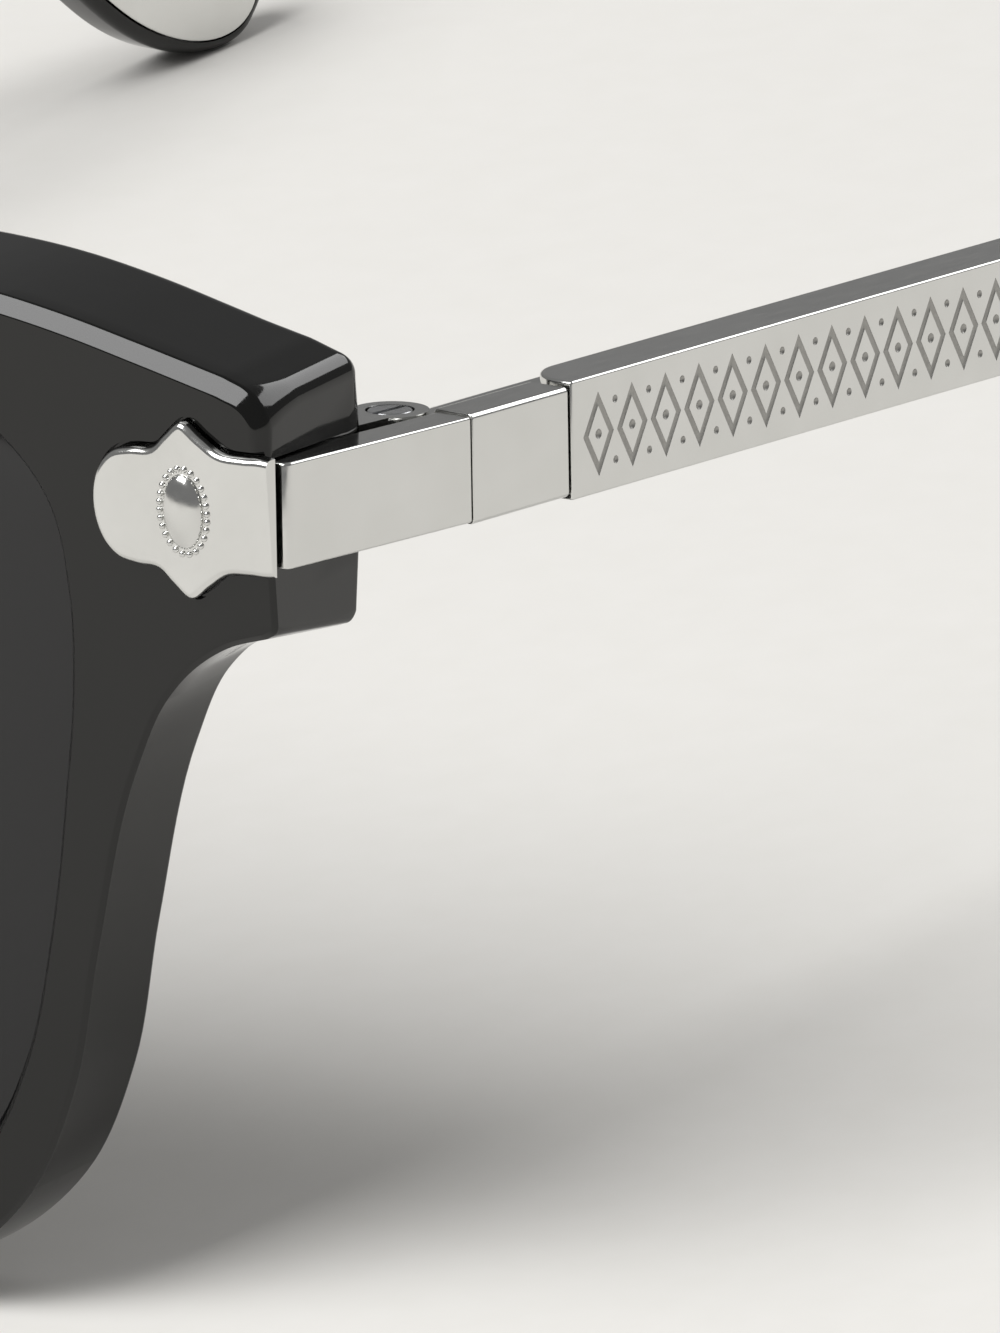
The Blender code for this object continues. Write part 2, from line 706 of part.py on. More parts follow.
def plate_screw_places():
    along = PLATE_INNER + SCREW_HEAD_RADIUS * 2
    spread = PLATE_SCREW_SPACING / 2
    return [("upper", (along, PLATE_UP + spread)), ("lower", (along, PLATE_UP - spread))]


def plate_solid(grow, back):
    """The hinge plate, or with a larger size and depth the pocket for it."""
    half = PLATE_HEIGHT / 2 + grow
    front = PLATE_DEPTH - PLATE_THICKNESS - grow
    low = (PLATE_INNER - grow, front, PLATE_UP - half)
    return bend(box(low, (PLATE_OUTER + grow, back, PLATE_UP + half)))


def plate_screw(place, grow=0.0):
    """A countersunk screw, or its hole, that goes forward from the back of the hinge plate."""
    along, up = place
    turn = turn_on_front(along)
    return loft([
        [on_front(along, up, PLATE_DEPTH - depth) + turn @ Vector((a, 0, b)) for a, b in circle(radius, 12)]
        for radius, depth in screw_profile(PLATE_SCREW_LENGTH, grow)
    ])


def plate_screw_slot(place):
    along, up = place
    half = (SCREW_HEAD_RADIUS + FIT, SLOT_DEPTH, SLOT_WIDTH / 2)
    low = (along - half[0], PLATE_DEPTH - half[1], up - half[2])
    return bend(box(low, (along + half[0], PLATE_DEPTH + half[1], up + half[2])))


def slot_tool(centre, axis, along, length):
    """A cutter for the slot in a screw's head; axis is the screw's, along is the slot's."""
    size = {axis: SLOT_DEPTH, along: length / 2}
    half = [size.get(name, SLOT_WIDTH / 2) for name in "XYZ"]
    low = [value - part for value, part in zip(centre, half)]
    high = [value + part for value, part in zip(centre, half)]
    return box(low, high)


def build_plaque_and_lug(side, tag, front, frame, steel):
    """The plaque and the side lug, and their pockets in the front."""
    recess = [
        [on_front(point.x, point.y, depth) for point in plaque_ring(FIT * 1.5)]
        for depth in (-PLAQUE_PROUD - PAST, PLAQUE_SUNK + FIT)
    ]
    combine(frame, loft(recess), side)
    plaque = add(f"plaque_{tag}", plaque_solid(), side, front, steel, 25)
    for along in prong_places():
        end = PLAQUE_SUNK + PRONG_LENGTH
        combine(plaque, front_pin(along, 0, PRONG_RADIUS, 0, end), side, "UNION")
        combine(frame, front_pin(along, 0, PRONG_RADIUS + FIT, 0, end + FIT), side)

    combine(frame, lug_box(FIT, -3 * PAST, BROW_DEPTH + 3 * PAST), side)
    lug = add(
        f"side_lug_{tag}", soften(lug_box(0, LUG_FRONT, LUG_BACK), LUG_EDGE, "Y"), side, front, steel, 25
    )
    root = LUG_THICKNESS / 4
    for centre in lug_peg_places():
        peg = [(LUG_PEG_RADIUS, root), (LUG_PEG_RADIUS, -LUG_PEG_LENGTH)]
        hole = [(LUG_PEG_RADIUS + FIT, root), (LUG_PEG_RADIUS + FIT, -LUG_PEG_LENGTH - FIT)]
        combine(lug, turned(peg, centre, "X", 10), side, "UNION")
        combine(frame, turned(hole, centre, "X", 10), side)


def build_front_hinge(side, tag, front, frame, looks):
    """The hinge leaf on the back of an end piece, its pin and its two plate screws."""
    pivot = Vector((HALF_WIDTH - PIVOT_IN, PIVOT_BACK, 0))
    half = HINGE_HEIGHT / 2
    plate_middle = on_front(PLATE_OUTER, PLATE_UP, PLATE_DEPTH - PLATE_THICKNESS / 2)
    outline = [
        (pivot.x + x, pivot.y + y)
        for x, y in eye_outline(EYE_RADIUS, NECK_WIDTH / 2, plate_middle.y - PIVOT_BACK)
    ]
    combine(frame, plate_solid(FIT, BROW_DEPTH + 2 * PAST), side)
    hinge = add(f"front_hinge_{tag}", prism(outline, -half, half), side, front, looks["steel"])
    combine(hinge, plate_solid(0, PLATE_DEPTH), side, "UNION")
    reach = EYE_RADIUS + RUN
    gap = Vector((reach + PAST, reach, MIDDLE_EYE / 2 + RUN))
    combine(hinge, box(pivot - gap, pivot + gap), side)
    head = half - PIN_HEAD
    hole = [
        (PIN_RADIUS + FIT, -half - PAST), (PIN_RADIUS + FIT, head - FIT),
        (PIN_HEAD_RADIUS + FIT, head - FIT), (PIN_HEAD_RADIUS + FIT, half + PAST),
    ]
    combine(hinge, turned(hole, pivot, "Z"), side)
    for name, place in plate_screw_places():
        combine(hinge, plate_screw(place, FIT), side)
        combine(frame, plate_screw(place, FIT), side)
        screw = add(f"plate_screw_{name}_{tag}", plate_screw(place), side, front, looks["screw"])
        combine(screw, plate_screw_slot(place), side)

    pin = [
        (PIN_RADIUS, -half + PIN_SHORT), (PIN_RADIUS, head), (PIN_HEAD_RADIUS, head),
        (PIN_HEAD_RADIUS, half - HEAD_EDGE), (PIN_HEAD_RADIUS - HEAD_EDGE, half),
    ]
    screw = add(f"hinge_screw_{tag}", turned(pin, pivot, "Z", 20), side, front, looks["screw"])
    slot = slot_tool(pivot + Vector((0, 0, half)), "Z", "Y", 2 * PIN_HEAD_RADIUS + PAST)
    combine(screw, slot, side)
    return pivot


def build_front_side(side, tag, front, frame, looks):
    """Everything of one side that is fixed to the acetate front; it gives the place of the hinge axis."""
    add(f"lens_{tag}", lens_solid(), side, front, looks["lens"], 40)
    add(f"nose_pad_{tag}", nose_pad_solid(), side, front, looks["acetate"], 50)
    build_plaque_and_lug(side, tag, front, frame, looks["steel"])
    return build_front_hinge(side, tag, front, frame, looks)


# Spring hinge. From here on Y counts back from the hinge axis, along the temple.

BORE_X = -BORE_OFFSET
BUSH_FRONT = HOUSING_FRONT + FIT
SPRING_LENGTH = (SPRING_TURNS + 1) * 2 * WIRE_RADIUS + SPRING_TRAVEL + SPRING_SPARE
SPRING_FRONT = BUSH_FRONT + BUSH_LENGTH + RUN
NUT_FRONT = SPRING_FRONT + SPRING_LENGTH + RUN
ROD_END = NUT_FRONT + NUT_LENGTH
HOUSING_BACK = HOUSING_FRONT + HOUSING_LENGTH
TEMPLE_OUTER = PIVOT_IN + FIT
BLOCK_INNER = TEMPLE_OUTER - BLOCK_THICKNESS
COVER_INNER = TEMPLE_OUTER - COVER_THICKNESS
FOOT_HOLE = HOUSING_BACK + 0.55 * FOOT_LENGTH


def coil():
    """The hinge spring, one unbroken wire round the rod."""
    segments, per_turn = 5, 9
    radius = BORE_RADIUS - WIRE_RADIUS - RUN
    pitch = (SPRING_LENGTH - 2 * WIRE_RADIUS) / SPRING_TURNS
    rings = []
    for step in range(int(SPRING_TURNS * per_turn) + 1):
        angle = 2 * math.pi * step / per_turn
        outward = Vector((math.cos(angle), 0, math.sin(angle)))
        forward = SPRING_FRONT + WIRE_RADIUS + pitch * step / per_turn
        centre = Vector((BORE_X, forward, 0)) + outward * radius
        rings.append([centre + outward * a + Vector((0, b, 0)) for a, b in circle(WIRE_RADIUS, segments)])
    return loft(rings)


def housing_solid():
    """Spring housing: beside the block, stepped in beside the cover, with a flat foot."""
    block_side = BLOCK_INNER - FIT
    cover_side = COVER_INNER - FIT
    inner = cover_side - HOUSING_WIDTH
    step = BLOCK_BACK - HOUSING_STEP
    edge = 2 * FIT
    half, low = HOUSING_HEIGHT / 2, HOUSING_HEIGHT / 2 - edge
    foot = cover_side - FOOT_THICKNESS
    foot_back = HOUSING_BACK + FOOT_LENGTH
    rows = (
        (HOUSING_FRONT, inner + HOUSING_TAPER / 2, block_side, low, HOUSING_ROUND * 0.7),
        (HOUSING_FRONT + HOUSING_TAPER, inner, block_side, half, HOUSING_ROUND),
        (step - edge, inner, block_side, half, HOUSING_ROUND),
        (step, inner, cover_side, half, HOUSING_ROUND),
        (HOUSING_BACK - 2 * HOUSING_TAPER, inner, cover_side, half, HOUSING_ROUND),
        (HOUSING_BACK - edge, inner + HOUSING_ROUND, cover_side, low, HOUSING_ROUND * 0.7),
        (HOUSING_BACK, foot, cover_side, low, edge),
        (foot_back - 0.2 * FOOT_LENGTH, foot, cover_side, low, edge),
        (foot_back, foot, cover_side, low - 0.2 * FOOT_LENGTH, edge),
    )
    rings = []
    for y, left, right, half, radius in rows:
        corners = ((right, half, edge), (left, half, radius), (left, -half, radius), (right, -half, edge))
        ring = []
        for index, (x, z, round_) in enumerate(corners):
            before, after = corners[index - 1], corners[(index + 1) % 4]
            ring += fillet(before[:2], (x, z), after[:2], round_, 2)
        rings.append([Vector((point.x, y, point.y)) for point in ring])
    return loft(rings)


def block_solid():
    """Metal length behind the seam; its front end is square to the lug, not to the temple."""
    lean = math.radians(CONVERGE)
    start = LUG_BACK + SEAM_GAP - PIVOT_BACK
    outline = [
        (BLOCK_INNER, (start - BLOCK_INNER * math.sin(lean)) / math.cos(lean)),
        (TEMPLE_OUTER, (start - TEMPLE_OUTER * math.sin(lean)) / math.cos(lean)),
        (TEMPLE_OUTER, BLOCK_BACK),
        (BLOCK_INNER, BLOCK_BACK),
    ]
    half = BLOCK_HEIGHT / 2
    return soften(prism(outline, -half, half), LUG_EDGE, "Y")


def cover_solid(start):
    """The cover before it is hollowed: a bar whose inner front corner is rounded."""
    radius = COVER_THICKNESS - COVER_WALL
    half = COVER_HEIGHT / 2
    rings = []
    for angle in (0, 25, 50, 75, 90):
        turn = math.radians(angle)
        y = start + radius * (1 - math.cos(turn))
        left = COVER_INNER + radius * (1 - math.sin(turn))
        middle, half_x = (left + TEMPLE_OUTER) / 2, (TEMPLE_OUTER - left) / 2
        ring = rounded_rectangle(half_x, half, COVER_EDGE * 0.9)
        rings.append([Vector((middle + point.x, y, point.y)) for point in ring])
    rings.append([Vector((point.x, COVER_BACK, point.z)) for point in rings[-1]])
    return loft(rings)


def tongue_range(grow=0.0):
    """Inner and outer side of the tongue between the liner and the outer wall of the cover."""
    outer = TEMPLE_OUTER - COVER_WALL - FIT
    return outer - TONGUE_THICKNESS - grow, outer + grow


def build_hinge_side(side, tag, fold, slide, looks):
    """The spring hinge: what turns with the middle eye, and what slides with the temple."""
    half = MIDDLE_EYE / 2
    neck_end = HOUSING_FRONT - RUN
    outline = eye_outline(EYE_RADIUS, EYE_NECK / 2, neck_end, BORE_X)
    eye = add(f"spring_eye_{tag}", prism(outline, -half, half), side, fold, looks["steel"])
    hole = [(PIN_RADIUS + RUN, -half - PAST), (PIN_RADIUS + RUN, half + PAST)]
    combine(eye, turned(hole, (0, 0, 0), "Z"), side)
    rod = [(ROD_RADIUS, neck_end - ROD_RADIUS), (ROD_RADIUS, ROD_END)]
    combine(eye, turned(rod, (BORE_X, 0, 0), "Y", 12), side, "UNION")
    nut = [
        (ROD_RADIUS + FIT / 2, NUT_FRONT), (BORE_RADIUS - RUN, NUT_FRONT),
        (BORE_RADIUS - RUN, ROD_END - FIT), (ROD_RADIUS + FIT / 2, ROD_END - FIT),
    ]
    add(f"spring_nut_{tag}", turned(nut, (BORE_X, 0, 0), "Y", 12, True), side, fold, looks["screw"])
    add(f"hinge_spring_{tag}", coil(), side, slide, looks["screw"])
    bush = [
        (ROD_RADIUS + RUN, BUSH_FRONT), (BORE_RADIUS - FIT, BUSH_FRONT),
        (BORE_RADIUS - FIT, BUSH_FRONT + BUSH_LENGTH), (ROD_RADIUS + RUN, BUSH_FRONT + BUSH_LENGTH),
    ]
    add(f"spring_bush_{tag}", turned(bush, (BORE_X, 0, 0), "Y", 14, True), side, slide, looks["screw"])
    housing = add(f"spring_housing_{tag}", housing_solid(), side, slide, looks["steel"])
    bore = [(BORE_RADIUS, HOUSING_FRONT - PAST), (BORE_RADIUS, ROD_END + BORE_SPARE)]
    combine(housing, turned(bore, (BORE_X, 0, 0), "Y", 16), side)
    head = (COVER_INNER - FIT - FOOT_THICKNESS, FOOT_HOLE, 0)
    length = tongue_range()[1] - head[0] - 2 * FIT
    combine(housing, countersunk(length, head, FIT), side)
    screw = add(f"housing_screw_{tag}", countersunk(length, head), side, slide, looks["screw"])
    combine(screw, slot_tool(head, "X", "Y", 2 * SCREW_HEAD_RADIUS + PAST), side)
    return head, length


def build_temple_side(side, tag, slide, looks, screw):
    """Block, cover and liner of one temple."""
    head, length = screw
    block = add(f"temple_block_{tag}", block_solid(), side, slide, looks["steel"])
    inner, outer = tongue_range()
    tall = TONGUE_HEIGHT / 2
    combine(block, box((inner, BLOCK_BACK - PAST, -tall), (outer, TONGUE_BACK, tall)), side, "UNION")
    combine(block, countersunk(length, head, FIT), side)

    start = BLOCK_BACK + COVER_GAP
    liner_front = start + COVER_NOSE
    cover = add(f"temple_cover_{tag}", cover_solid(start), side, slide, looks["steel"])
    inside = COVER_HEIGHT / 2 - COVER_WALL
    hollow = box(
        (COVER_INNER - PAST, liner_front, -inside),
        (TEMPLE_OUTER - COVER_WALL, COVER_BACK + PAST, inside),
    )
    combine(cover, hollow, side)
    low, high = tongue_range(FIT)
    slot = tall + FIT
    combine(cover, box((low, start - PAST, -slot), (high, liner_front + PAST, slot)), side)

    outline = [
        (COVER_INNER, liner_front + FIT),
        (inner - FIT, liner_front + FIT),
        (inner - FIT, TONGUE_BACK + FIT),
        (TEMPLE_OUTER - COVER_WALL - FIT, TONGUE_BACK + FIT),
        (TEMPLE_OUTER - COVER_WALL - FIT, COVER_BACK - FIT),
        (COVER_INNER, COVER_BACK - FIT),
    ]
    core = prism(outline, FIT - inside, inside - FIT)
    core = add(f"temple_core_{tag}", core, side, slide, looks["acetate"])
    combine(core, countersunk(length, head, FIT), side)
    combine(core, spine_solid(COVER_BACK - SPINE_IN_CORE - FIT, COVER_BACK + 2 * PAST, FIT), side)


# Ear tips

TIP_MIDDLE = TEMPLE_OUTER - COVER_THICKNESS / 2
TIP_BEND_LENGTH = TIP_BEND_RADIUS * math.radians(TIP_BEND)
TIP_END = COVER_BACK + TIP_BEND_LENGTH + TIP_STRAIGHT


def on_path(run):
    """Point and upward normal, as (Y, Z), of a temple's middle line at a length from the hinge."""
    past = run - COVER_BACK
    if past <= 0:
        return Vector((run, 0)), Vector((0, 1))
    turn = min(past, TIP_BEND_LENGTH) / TIP_BEND_RADIUS
    point = Vector((COVER_BACK + TIP_BEND_RADIUS * math.sin(turn), TIP_BEND_RADIUS * (math.cos(turn) - 1)))
    rest = max(past - TIP_BEND_LENGTH, 0)
    point += Vector((math.cos(turn), -math.sin(turn))) * rest
    return point, Vector((math.sin(turn), math.cos(turn)))


def tip_half_height(run):
    """Half the height of an ear tip: from the cover, through its waist, to its round end."""
    if run >= TIP_END:
        return TIP_END_HALF * math.sqrt(max(1 - ((run - TIP_END) / TIP_END_LENGTH) ** 2, 0))
    t = (run - COVER_BACK) / (TIP_END - COVER_BACK)
    dip = TIP_WAIST + (COVER_HEIGHT / 2 - TIP_WAIST) * max(1 - 3 * t, 0) ** 2
    swell = min(max((t - 0.3) / 0.7, 0), 1)
    return dip + (TIP_END_HALF - TIP_WAIST) * swell * swell * (3 - 2 * swell)


def section(run, half_x, half_height, radius, middle=TIP_MIDDLE):
    """A rounded cross-section, square to the path."""
    point, normal = on_path(run)
    ring = []
    for flat in rounded_rectangle(half_x, half_height, radius):
        away = point + normal * flat.y
        ring.append(Vector((middle + flat.x, away.x, away.y)))
    return ring


def spine_solid(start, end, grow=0.0):
    runs = [start] + [COVER_BACK + (end - COVER_BACK) * step / 8 for step in range(9)]
    half_x, half_height = SPINE_THICKNESS / 2 + grow, SPINE_HEIGHT / 2 + grow
    return loft([section(run, half_x, half_height, SPINE_EDGE) for run in runs])


def tip_solid():
    """The ear tip: flat on its inner face, rounded elsewhere."""
    rings = []
    rows = 15
    inner = TIP_MIDDLE - COVER_THICKNESS / 2
    for row in range(rows):
        run = COVER_BACK + FIT + (TIP_END - COVER_BACK - FIT) * row / (rows - 1)
        share = row / (rows - 1)
        thickness = COVER_THICKNESS + (TIP_END_THICKNESS - COVER_THICKNESS) * share
        half = tip_half_height(run)
        radius = COVER_EDGE + (TIP_ROUND - COVER_EDGE) * min(share * 6, 1)
        rings.append(section(run, thickness / 2, half, radius, inner + thickness / 2))
    for angle in (15, 30, 45, 60, 75, 86):
        run = TIP_END + TIP_END_LENGTH * math.sin(math.radians(angle))
        half = TIP_END_HALF * math.cos(math.radians(angle))
        thin = TIP_END_THICKNESS * (1 - 0.12 * (angle / 90) ** 2)
        radius = min(TIP_ROUND, half * 0.8)
        rings.append(section(run, thin / 2, half, radius, inner + TIP_END_THICKNESS / 2))
    return loft(rings)


def inlay_outline(grow=0.0):
    """Outline of the inlay in the inner face of an ear tip, as (Y, Z)."""
    start = TIP_END - INLAY_LENGTH
    upper, lower = [], []
    for step in range(13):
        share = step / 12
        run = start + INLAY_LENGTH * share
        lead = math.sqrt(min(share * 3, 1)) if share < 1 / 3 else 1
        half = (tip_half_height(run) - INLAY_MARGIN) * lead + grow
        point, normal = on_path(run)
        upper.append(point + normal * max(half, SPINE_EDGE + grow))
        lower.append(point - normal * max(half, SPINE_EDGE + grow))
    point, normal = on_path(TIP_END)
    ahead = Vector((normal.y, -normal.x))
    half, length = TIP_END_HALF - INLAY_MARGIN + grow, TIP_END_LENGTH - INLAY_MARGIN + grow
    end = [
        point + normal * math.cos(angle) * half + ahead * math.sin(angle) * length
        for angle in [math.pi * step / 12 for step in range(1, 12)]
    ]
    return upper + end + list(reversed(lower))


def build_tip_side(side, tag, slide, looks):
    """Spine, ear tip and inlay of one temple; it gives the ear tip."""
    spine_start = COVER_BACK - SPINE_IN_CORE
    spine_end = COVER_BACK + SPINE_IN_TIP
    add(f"tip_spine_{tag}", spine_solid(spine_start, spine_end), side, slide, looks["screw"])
    tip = add(f"ear_tip_{tag}", tip_solid(), side, slide, looks["acetate"])
    combine(tip, spine_solid(COVER_BACK - 2 * PAST, spine_end + FIT, FIT), side)
    face = TIP_MIDDLE - COVER_THICKNESS / 2
    combine(tip, prism(inlay_outline(FIT), face - PAST, face + INLAY_THICKNESS + FIT, "X"), side)
    inlay = prism(inlay_outline(), face - INLAY_PROUD, face + INLAY_THICKNESS, "X")
    add(f"tip_inlay_{tag}", inlay, side, slide, looks["steel"], 20)
    return tip


# Standing on a table

def lay_down(table, front, tips):
    """Turns the pair onto its rims and ear tips, with the middle of its box over the origin."""
    feet = [front] + tips

    def world_points():
        bpy.context.view_layer.update()
        return [item.matrix_world @ vertex.co for item in feet for vertex in item.data.vertices]

    low = sorted((point.y, point.z) for point in world_points())
    hull = []
    for y, z in low:
        while len(hull) > 1:
            (y1, z1), (y2, z2) = hull[-2], hull[-1]
            if (y2 - y1) * (z - z1) - (z2 - z1) * (y - y1) > 0:
                break
            hull.pop()
        hull.append((y, z))
    start, end = max(zip(hull, hull[1:]), key=lambda pair: pair[1][0] - pair[0][0])
    table.rotation_euler = (-math.atan2(end[1] - start[1], end[0] - start[0]), 0, 0)
    points = world_points()
    floor = min(point.z for point in points)
    ahead = min(point.y for point in points)
    behind = max(point.y for point in points)
    table.location = (0, -(ahead + behind) / 2, -floor)


def main():
    clear_scene()
    looks = {
        "acetate": finish("black_acetate", (0.012, 0.012, 0.012), 0.12, 0.0),
        "steel": finish("polished_steel", (0.78, 0.79, 0.80), 0.12, 1.0),
        "screw": finish("screw_steel", (0.62, 0.62, 0.63), 0.3, 1.0),
        "lens": finish("dark_lens", (0.02, 0.02, 0.022), 0.05, 0.0),
    }
    table = empty("table", None)
    frame = add("front_frame", front_solid(), 1, table, looks["acetate"], 25)
    tips = []
    for side, tag in ((1, "left"), (-1, "right")):
        pivot = build_front_side(side, tag, table, frame, looks)
        lean = math.radians(CONVERGE) * side
        fold = empty(f"fold_axis_{tag}", table, (pivot.x * side, pivot.y, 0), lean)
        slide = empty(f"spring_slide_{tag}", fold)
        screw = build_hinge_side(side, tag, fold, slide, looks)
        build_temple_side(side, tag, slide, looks, screw)
        tips.append(build_tip_side(side, tag, slide, looks))
    lay_down(table, frame, tips)


main()
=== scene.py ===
# %% [markdown]
# # A pair of sunglasses, dressed
#
# The mechanical model is already made: the acetate front, the hinges and the temples are there as faceted
# solids, each riding on a body that moves. This lesson gives them their looks. Most of the visible pieces are
# modelled again with rounder edges and finer curves, in the same places, and every surface gets a material.

import json
import math

import bpy
from mathutils import Matrix, Vector

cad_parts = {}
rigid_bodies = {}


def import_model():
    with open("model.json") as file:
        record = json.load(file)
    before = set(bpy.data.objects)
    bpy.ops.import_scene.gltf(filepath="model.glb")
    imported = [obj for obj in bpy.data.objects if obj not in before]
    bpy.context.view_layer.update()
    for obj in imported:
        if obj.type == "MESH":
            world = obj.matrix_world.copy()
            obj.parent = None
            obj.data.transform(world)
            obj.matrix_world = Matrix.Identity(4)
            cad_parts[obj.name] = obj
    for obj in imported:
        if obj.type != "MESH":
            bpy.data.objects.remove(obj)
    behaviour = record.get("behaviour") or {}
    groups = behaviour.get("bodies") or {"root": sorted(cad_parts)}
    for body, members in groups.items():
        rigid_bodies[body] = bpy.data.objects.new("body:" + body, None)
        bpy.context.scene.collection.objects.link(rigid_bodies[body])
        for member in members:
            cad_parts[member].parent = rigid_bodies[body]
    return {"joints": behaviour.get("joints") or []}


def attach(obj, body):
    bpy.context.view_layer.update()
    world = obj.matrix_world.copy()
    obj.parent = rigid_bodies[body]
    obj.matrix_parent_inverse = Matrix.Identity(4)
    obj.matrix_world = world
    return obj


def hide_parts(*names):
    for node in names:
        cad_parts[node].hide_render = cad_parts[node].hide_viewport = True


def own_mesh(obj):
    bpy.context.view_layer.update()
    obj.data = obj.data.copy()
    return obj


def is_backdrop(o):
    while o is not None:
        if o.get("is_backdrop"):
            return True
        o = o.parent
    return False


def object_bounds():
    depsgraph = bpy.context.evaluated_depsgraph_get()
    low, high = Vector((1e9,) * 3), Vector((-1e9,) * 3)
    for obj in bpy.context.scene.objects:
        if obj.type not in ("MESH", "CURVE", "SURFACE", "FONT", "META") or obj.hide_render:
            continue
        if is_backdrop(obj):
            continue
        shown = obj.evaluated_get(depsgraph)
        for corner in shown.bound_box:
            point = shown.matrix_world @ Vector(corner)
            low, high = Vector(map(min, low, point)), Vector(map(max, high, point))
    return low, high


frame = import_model()
cad_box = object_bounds()

# %% [markdown]
# ## Two working frames
#
# The pair lies on a table, a little tilted, but it is easier to model it as it is worn: the front faces -Y,
# the temples run back along +Y and +Z is up. The left hinge tells where that worn frame is. Its axis is the
# worn Z, and its place is known. A temple has a frame of its own, with its origin on the hinge axis and its
# Y along the temple. Each piece is drawn in one of these frames, and its points are then moved into place.

# %% The worn frame and the temple frame
MM = 0.001
HALF_WIDTH = 72.997 * MM      # middle of the pair to the outer face of a side lug
PIVOT_IN = 4.25 * MM          # hinge axis, inward from that face
PIVOT_BACK = 12.3 * MM        # hinge axis, behind the front edge of the lug


def joint(name):
    return next(item for item in frame["joints"] if item["name"] == name)


def axes(x, y, z, origin):
    """A matrix that takes a point of a working frame to its place on the table."""
    turn = Matrix((x, y, z)).transposed().to_4x4()
    return Matrix.Translation(origin) @ turn


hinge_place = Vector(joint("left_fold")["pos_m"])
hinge_axis = Vector(joint("left_fold")["axis"]).normalized()
along_temple = Vector(joint("left_spring_slide")["axis"]).normalized()
across = Vector((1, 0, 0))
worn_back = hinge_axis.cross(across)
WORN = axes(
    across, worn_back, hinge_axis,
    hinge_place - across * (HALF_WIDTH - PIVOT_IN) - worn_back * PIVOT_BACK,
)
TEMPLE = axes(along_temple.cross(hinge_axis), along_temple, hinge_axis, hinge_place)
print("worn frame leans", round(math.degrees(math.atan2(hinge_axis.y, hinge_axis.z)), 2), "degrees")

# %% [markdown]
# ## Camera
#
# The picture is a close view of the wearer's left hinge, taken with a long lens. One known point, the outer
# front edge of the side lug, sits at one known pixel, and the scale there is known. From these and the
# viewing angles the camera's place follows, so nothing is guessed by eye.

# %% Camera
PICTURE = (1000, 1333)
ANCHOR_PIXEL = (285, 518)
PIXELS_PER_MM = 21.0
CAMERA_DISTANCE = 1300 * MM
AZIMUTH, ELEVATION, ROLL = math.radians(41.8), math.radians(12.8), math.radians(0.9)
SENSOR = 36.0
CLIP_START, CLIP_END = 0.05, 60.0

right = Vector((math.cos(AZIMUTH), math.sin(AZIMUTH), 0))
backward = Vector((
    math.sin(AZIMUTH) * math.cos(ELEVATION), -math.cos(AZIMUTH) * math.cos(ELEVATION), math.sin(ELEVATION)
))
upward = backward.cross(right)
right, upward = (
    math.cos(ROLL) * right - math.sin(ROLL) * upward,
    math.sin(ROLL) * right + math.cos(ROLL) * upward,
)
focal_pixels = PIXELS_PER_MM / MM * CAMERA_DISTANCE
shift_right = (ANCHOR_PIXEL[0] - PICTURE[0] / 2) / focal_pixels * CAMERA_DISTANCE
shift_up = (PICTURE[1] / 2 - ANCHOR_PIXEL[1]) / focal_pixels * CAMERA_DISTANCE
anchor = Vector((HALF_WIDTH, 0, 0))
camera_place = anchor - right * shift_right - upward * shift_up + backward * CAMERA_DISTANCE

bpy.ops.object.camera_add()
camera = bpy.context.object
camera.name = "camera"
camera.matrix_world = WORN @ axes(right, upward, backward, camera_place)
camera.data.sensor_fit = "HORIZONTAL"
camera.data.sensor_width = SENSOR
camera.data.lens = focal_pixels * SENSOR / PICTURE[0]
camera.data.clip_start, camera.data.clip_end = CLIP_START, CLIP_END
bpy.context.scene.camera = camera
print("lens", round(camera.data.lens), "mm at", [round(value, 3) for value in camera.location])


# %% [markdown]
# ## Floor and light
#
# A wide pale floor, two softboxes and a plain grey sky are all the studio there is. The large softbox hangs
# in front, high up, where the sloping edge along the brow mirrors it, so that edge draws a bright line. The
# smaller one stands low behind the pair and does the same for the rolled upper edges of the metal. The metal
# faces show mostly the floor, which is why they look pale.

# %% Floor and light
FLOOR_HALF = 30.0
SKY = 0.22
SOFTBOXES = {      # place, width and height in metres, power in watts
    "brow_softbox": ((-0.30, -1.06, 1.66), (1.4, 1.4), 40.0),
    "edge_softbox": ((0.47, 1.87, 1.05), (1.8, 0.8), 14.0),
}

bpy.ops.object.select_all(action="DESELECT")
bpy.ops.mesh.primitive_plane_add(size=2 * FLOOR_HALF)
floor = bpy.context.object
floor.name = "floor"
floor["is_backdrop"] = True

for name, (place, size, watts) in SOFTBOXES.items():
    bpy.ops.object.light_add(type="AREA", location=place)
    lamp = bpy.context.object
    lamp.name = name
    lamp.data.shape = "RECTANGLE"
    lamp.data.size, lamp.data.size_y = size
    lamp.data.energy = watts
    lamp.rotation_euler = (-Vector(place)).to_track_quat("-Z", "Y").to_euler()
    print(name, round(Vector(place).length, 2), "m away")

world = bpy.data.worlds.new("grey_sky")
world.use_nodes = True
world.node_tree.nodes["Background"].inputs["Color"].default_value = (SKY, SKY, SKY, 1)
bpy.context.scene.world = world
bpy.context.scene.view_settings.view_transform = "Standard"

# %% [markdown]
# ## Colours and nodes
#
# Colours are written as a paint shop would, as sRGB hex, and turned to linear light once. One helper adds a
# node. A real surface drifts a little in colour and gloss, so another draws a mottle of a real size, and the
# last lets it move both. Each material below is then a short recipe.

# %% Colour and node helpers
def linear(code):
    """An sRGB hex colour as linear red, green, blue and alpha."""
    parts = [int(code[index:index + 2], 16) / 255 for index in (1, 3, 5)]
    return [part / 12.92 if part <= 0.04045 else ((part + 0.055) / 1.055) ** 2.4 for part in parts] + [1.0]


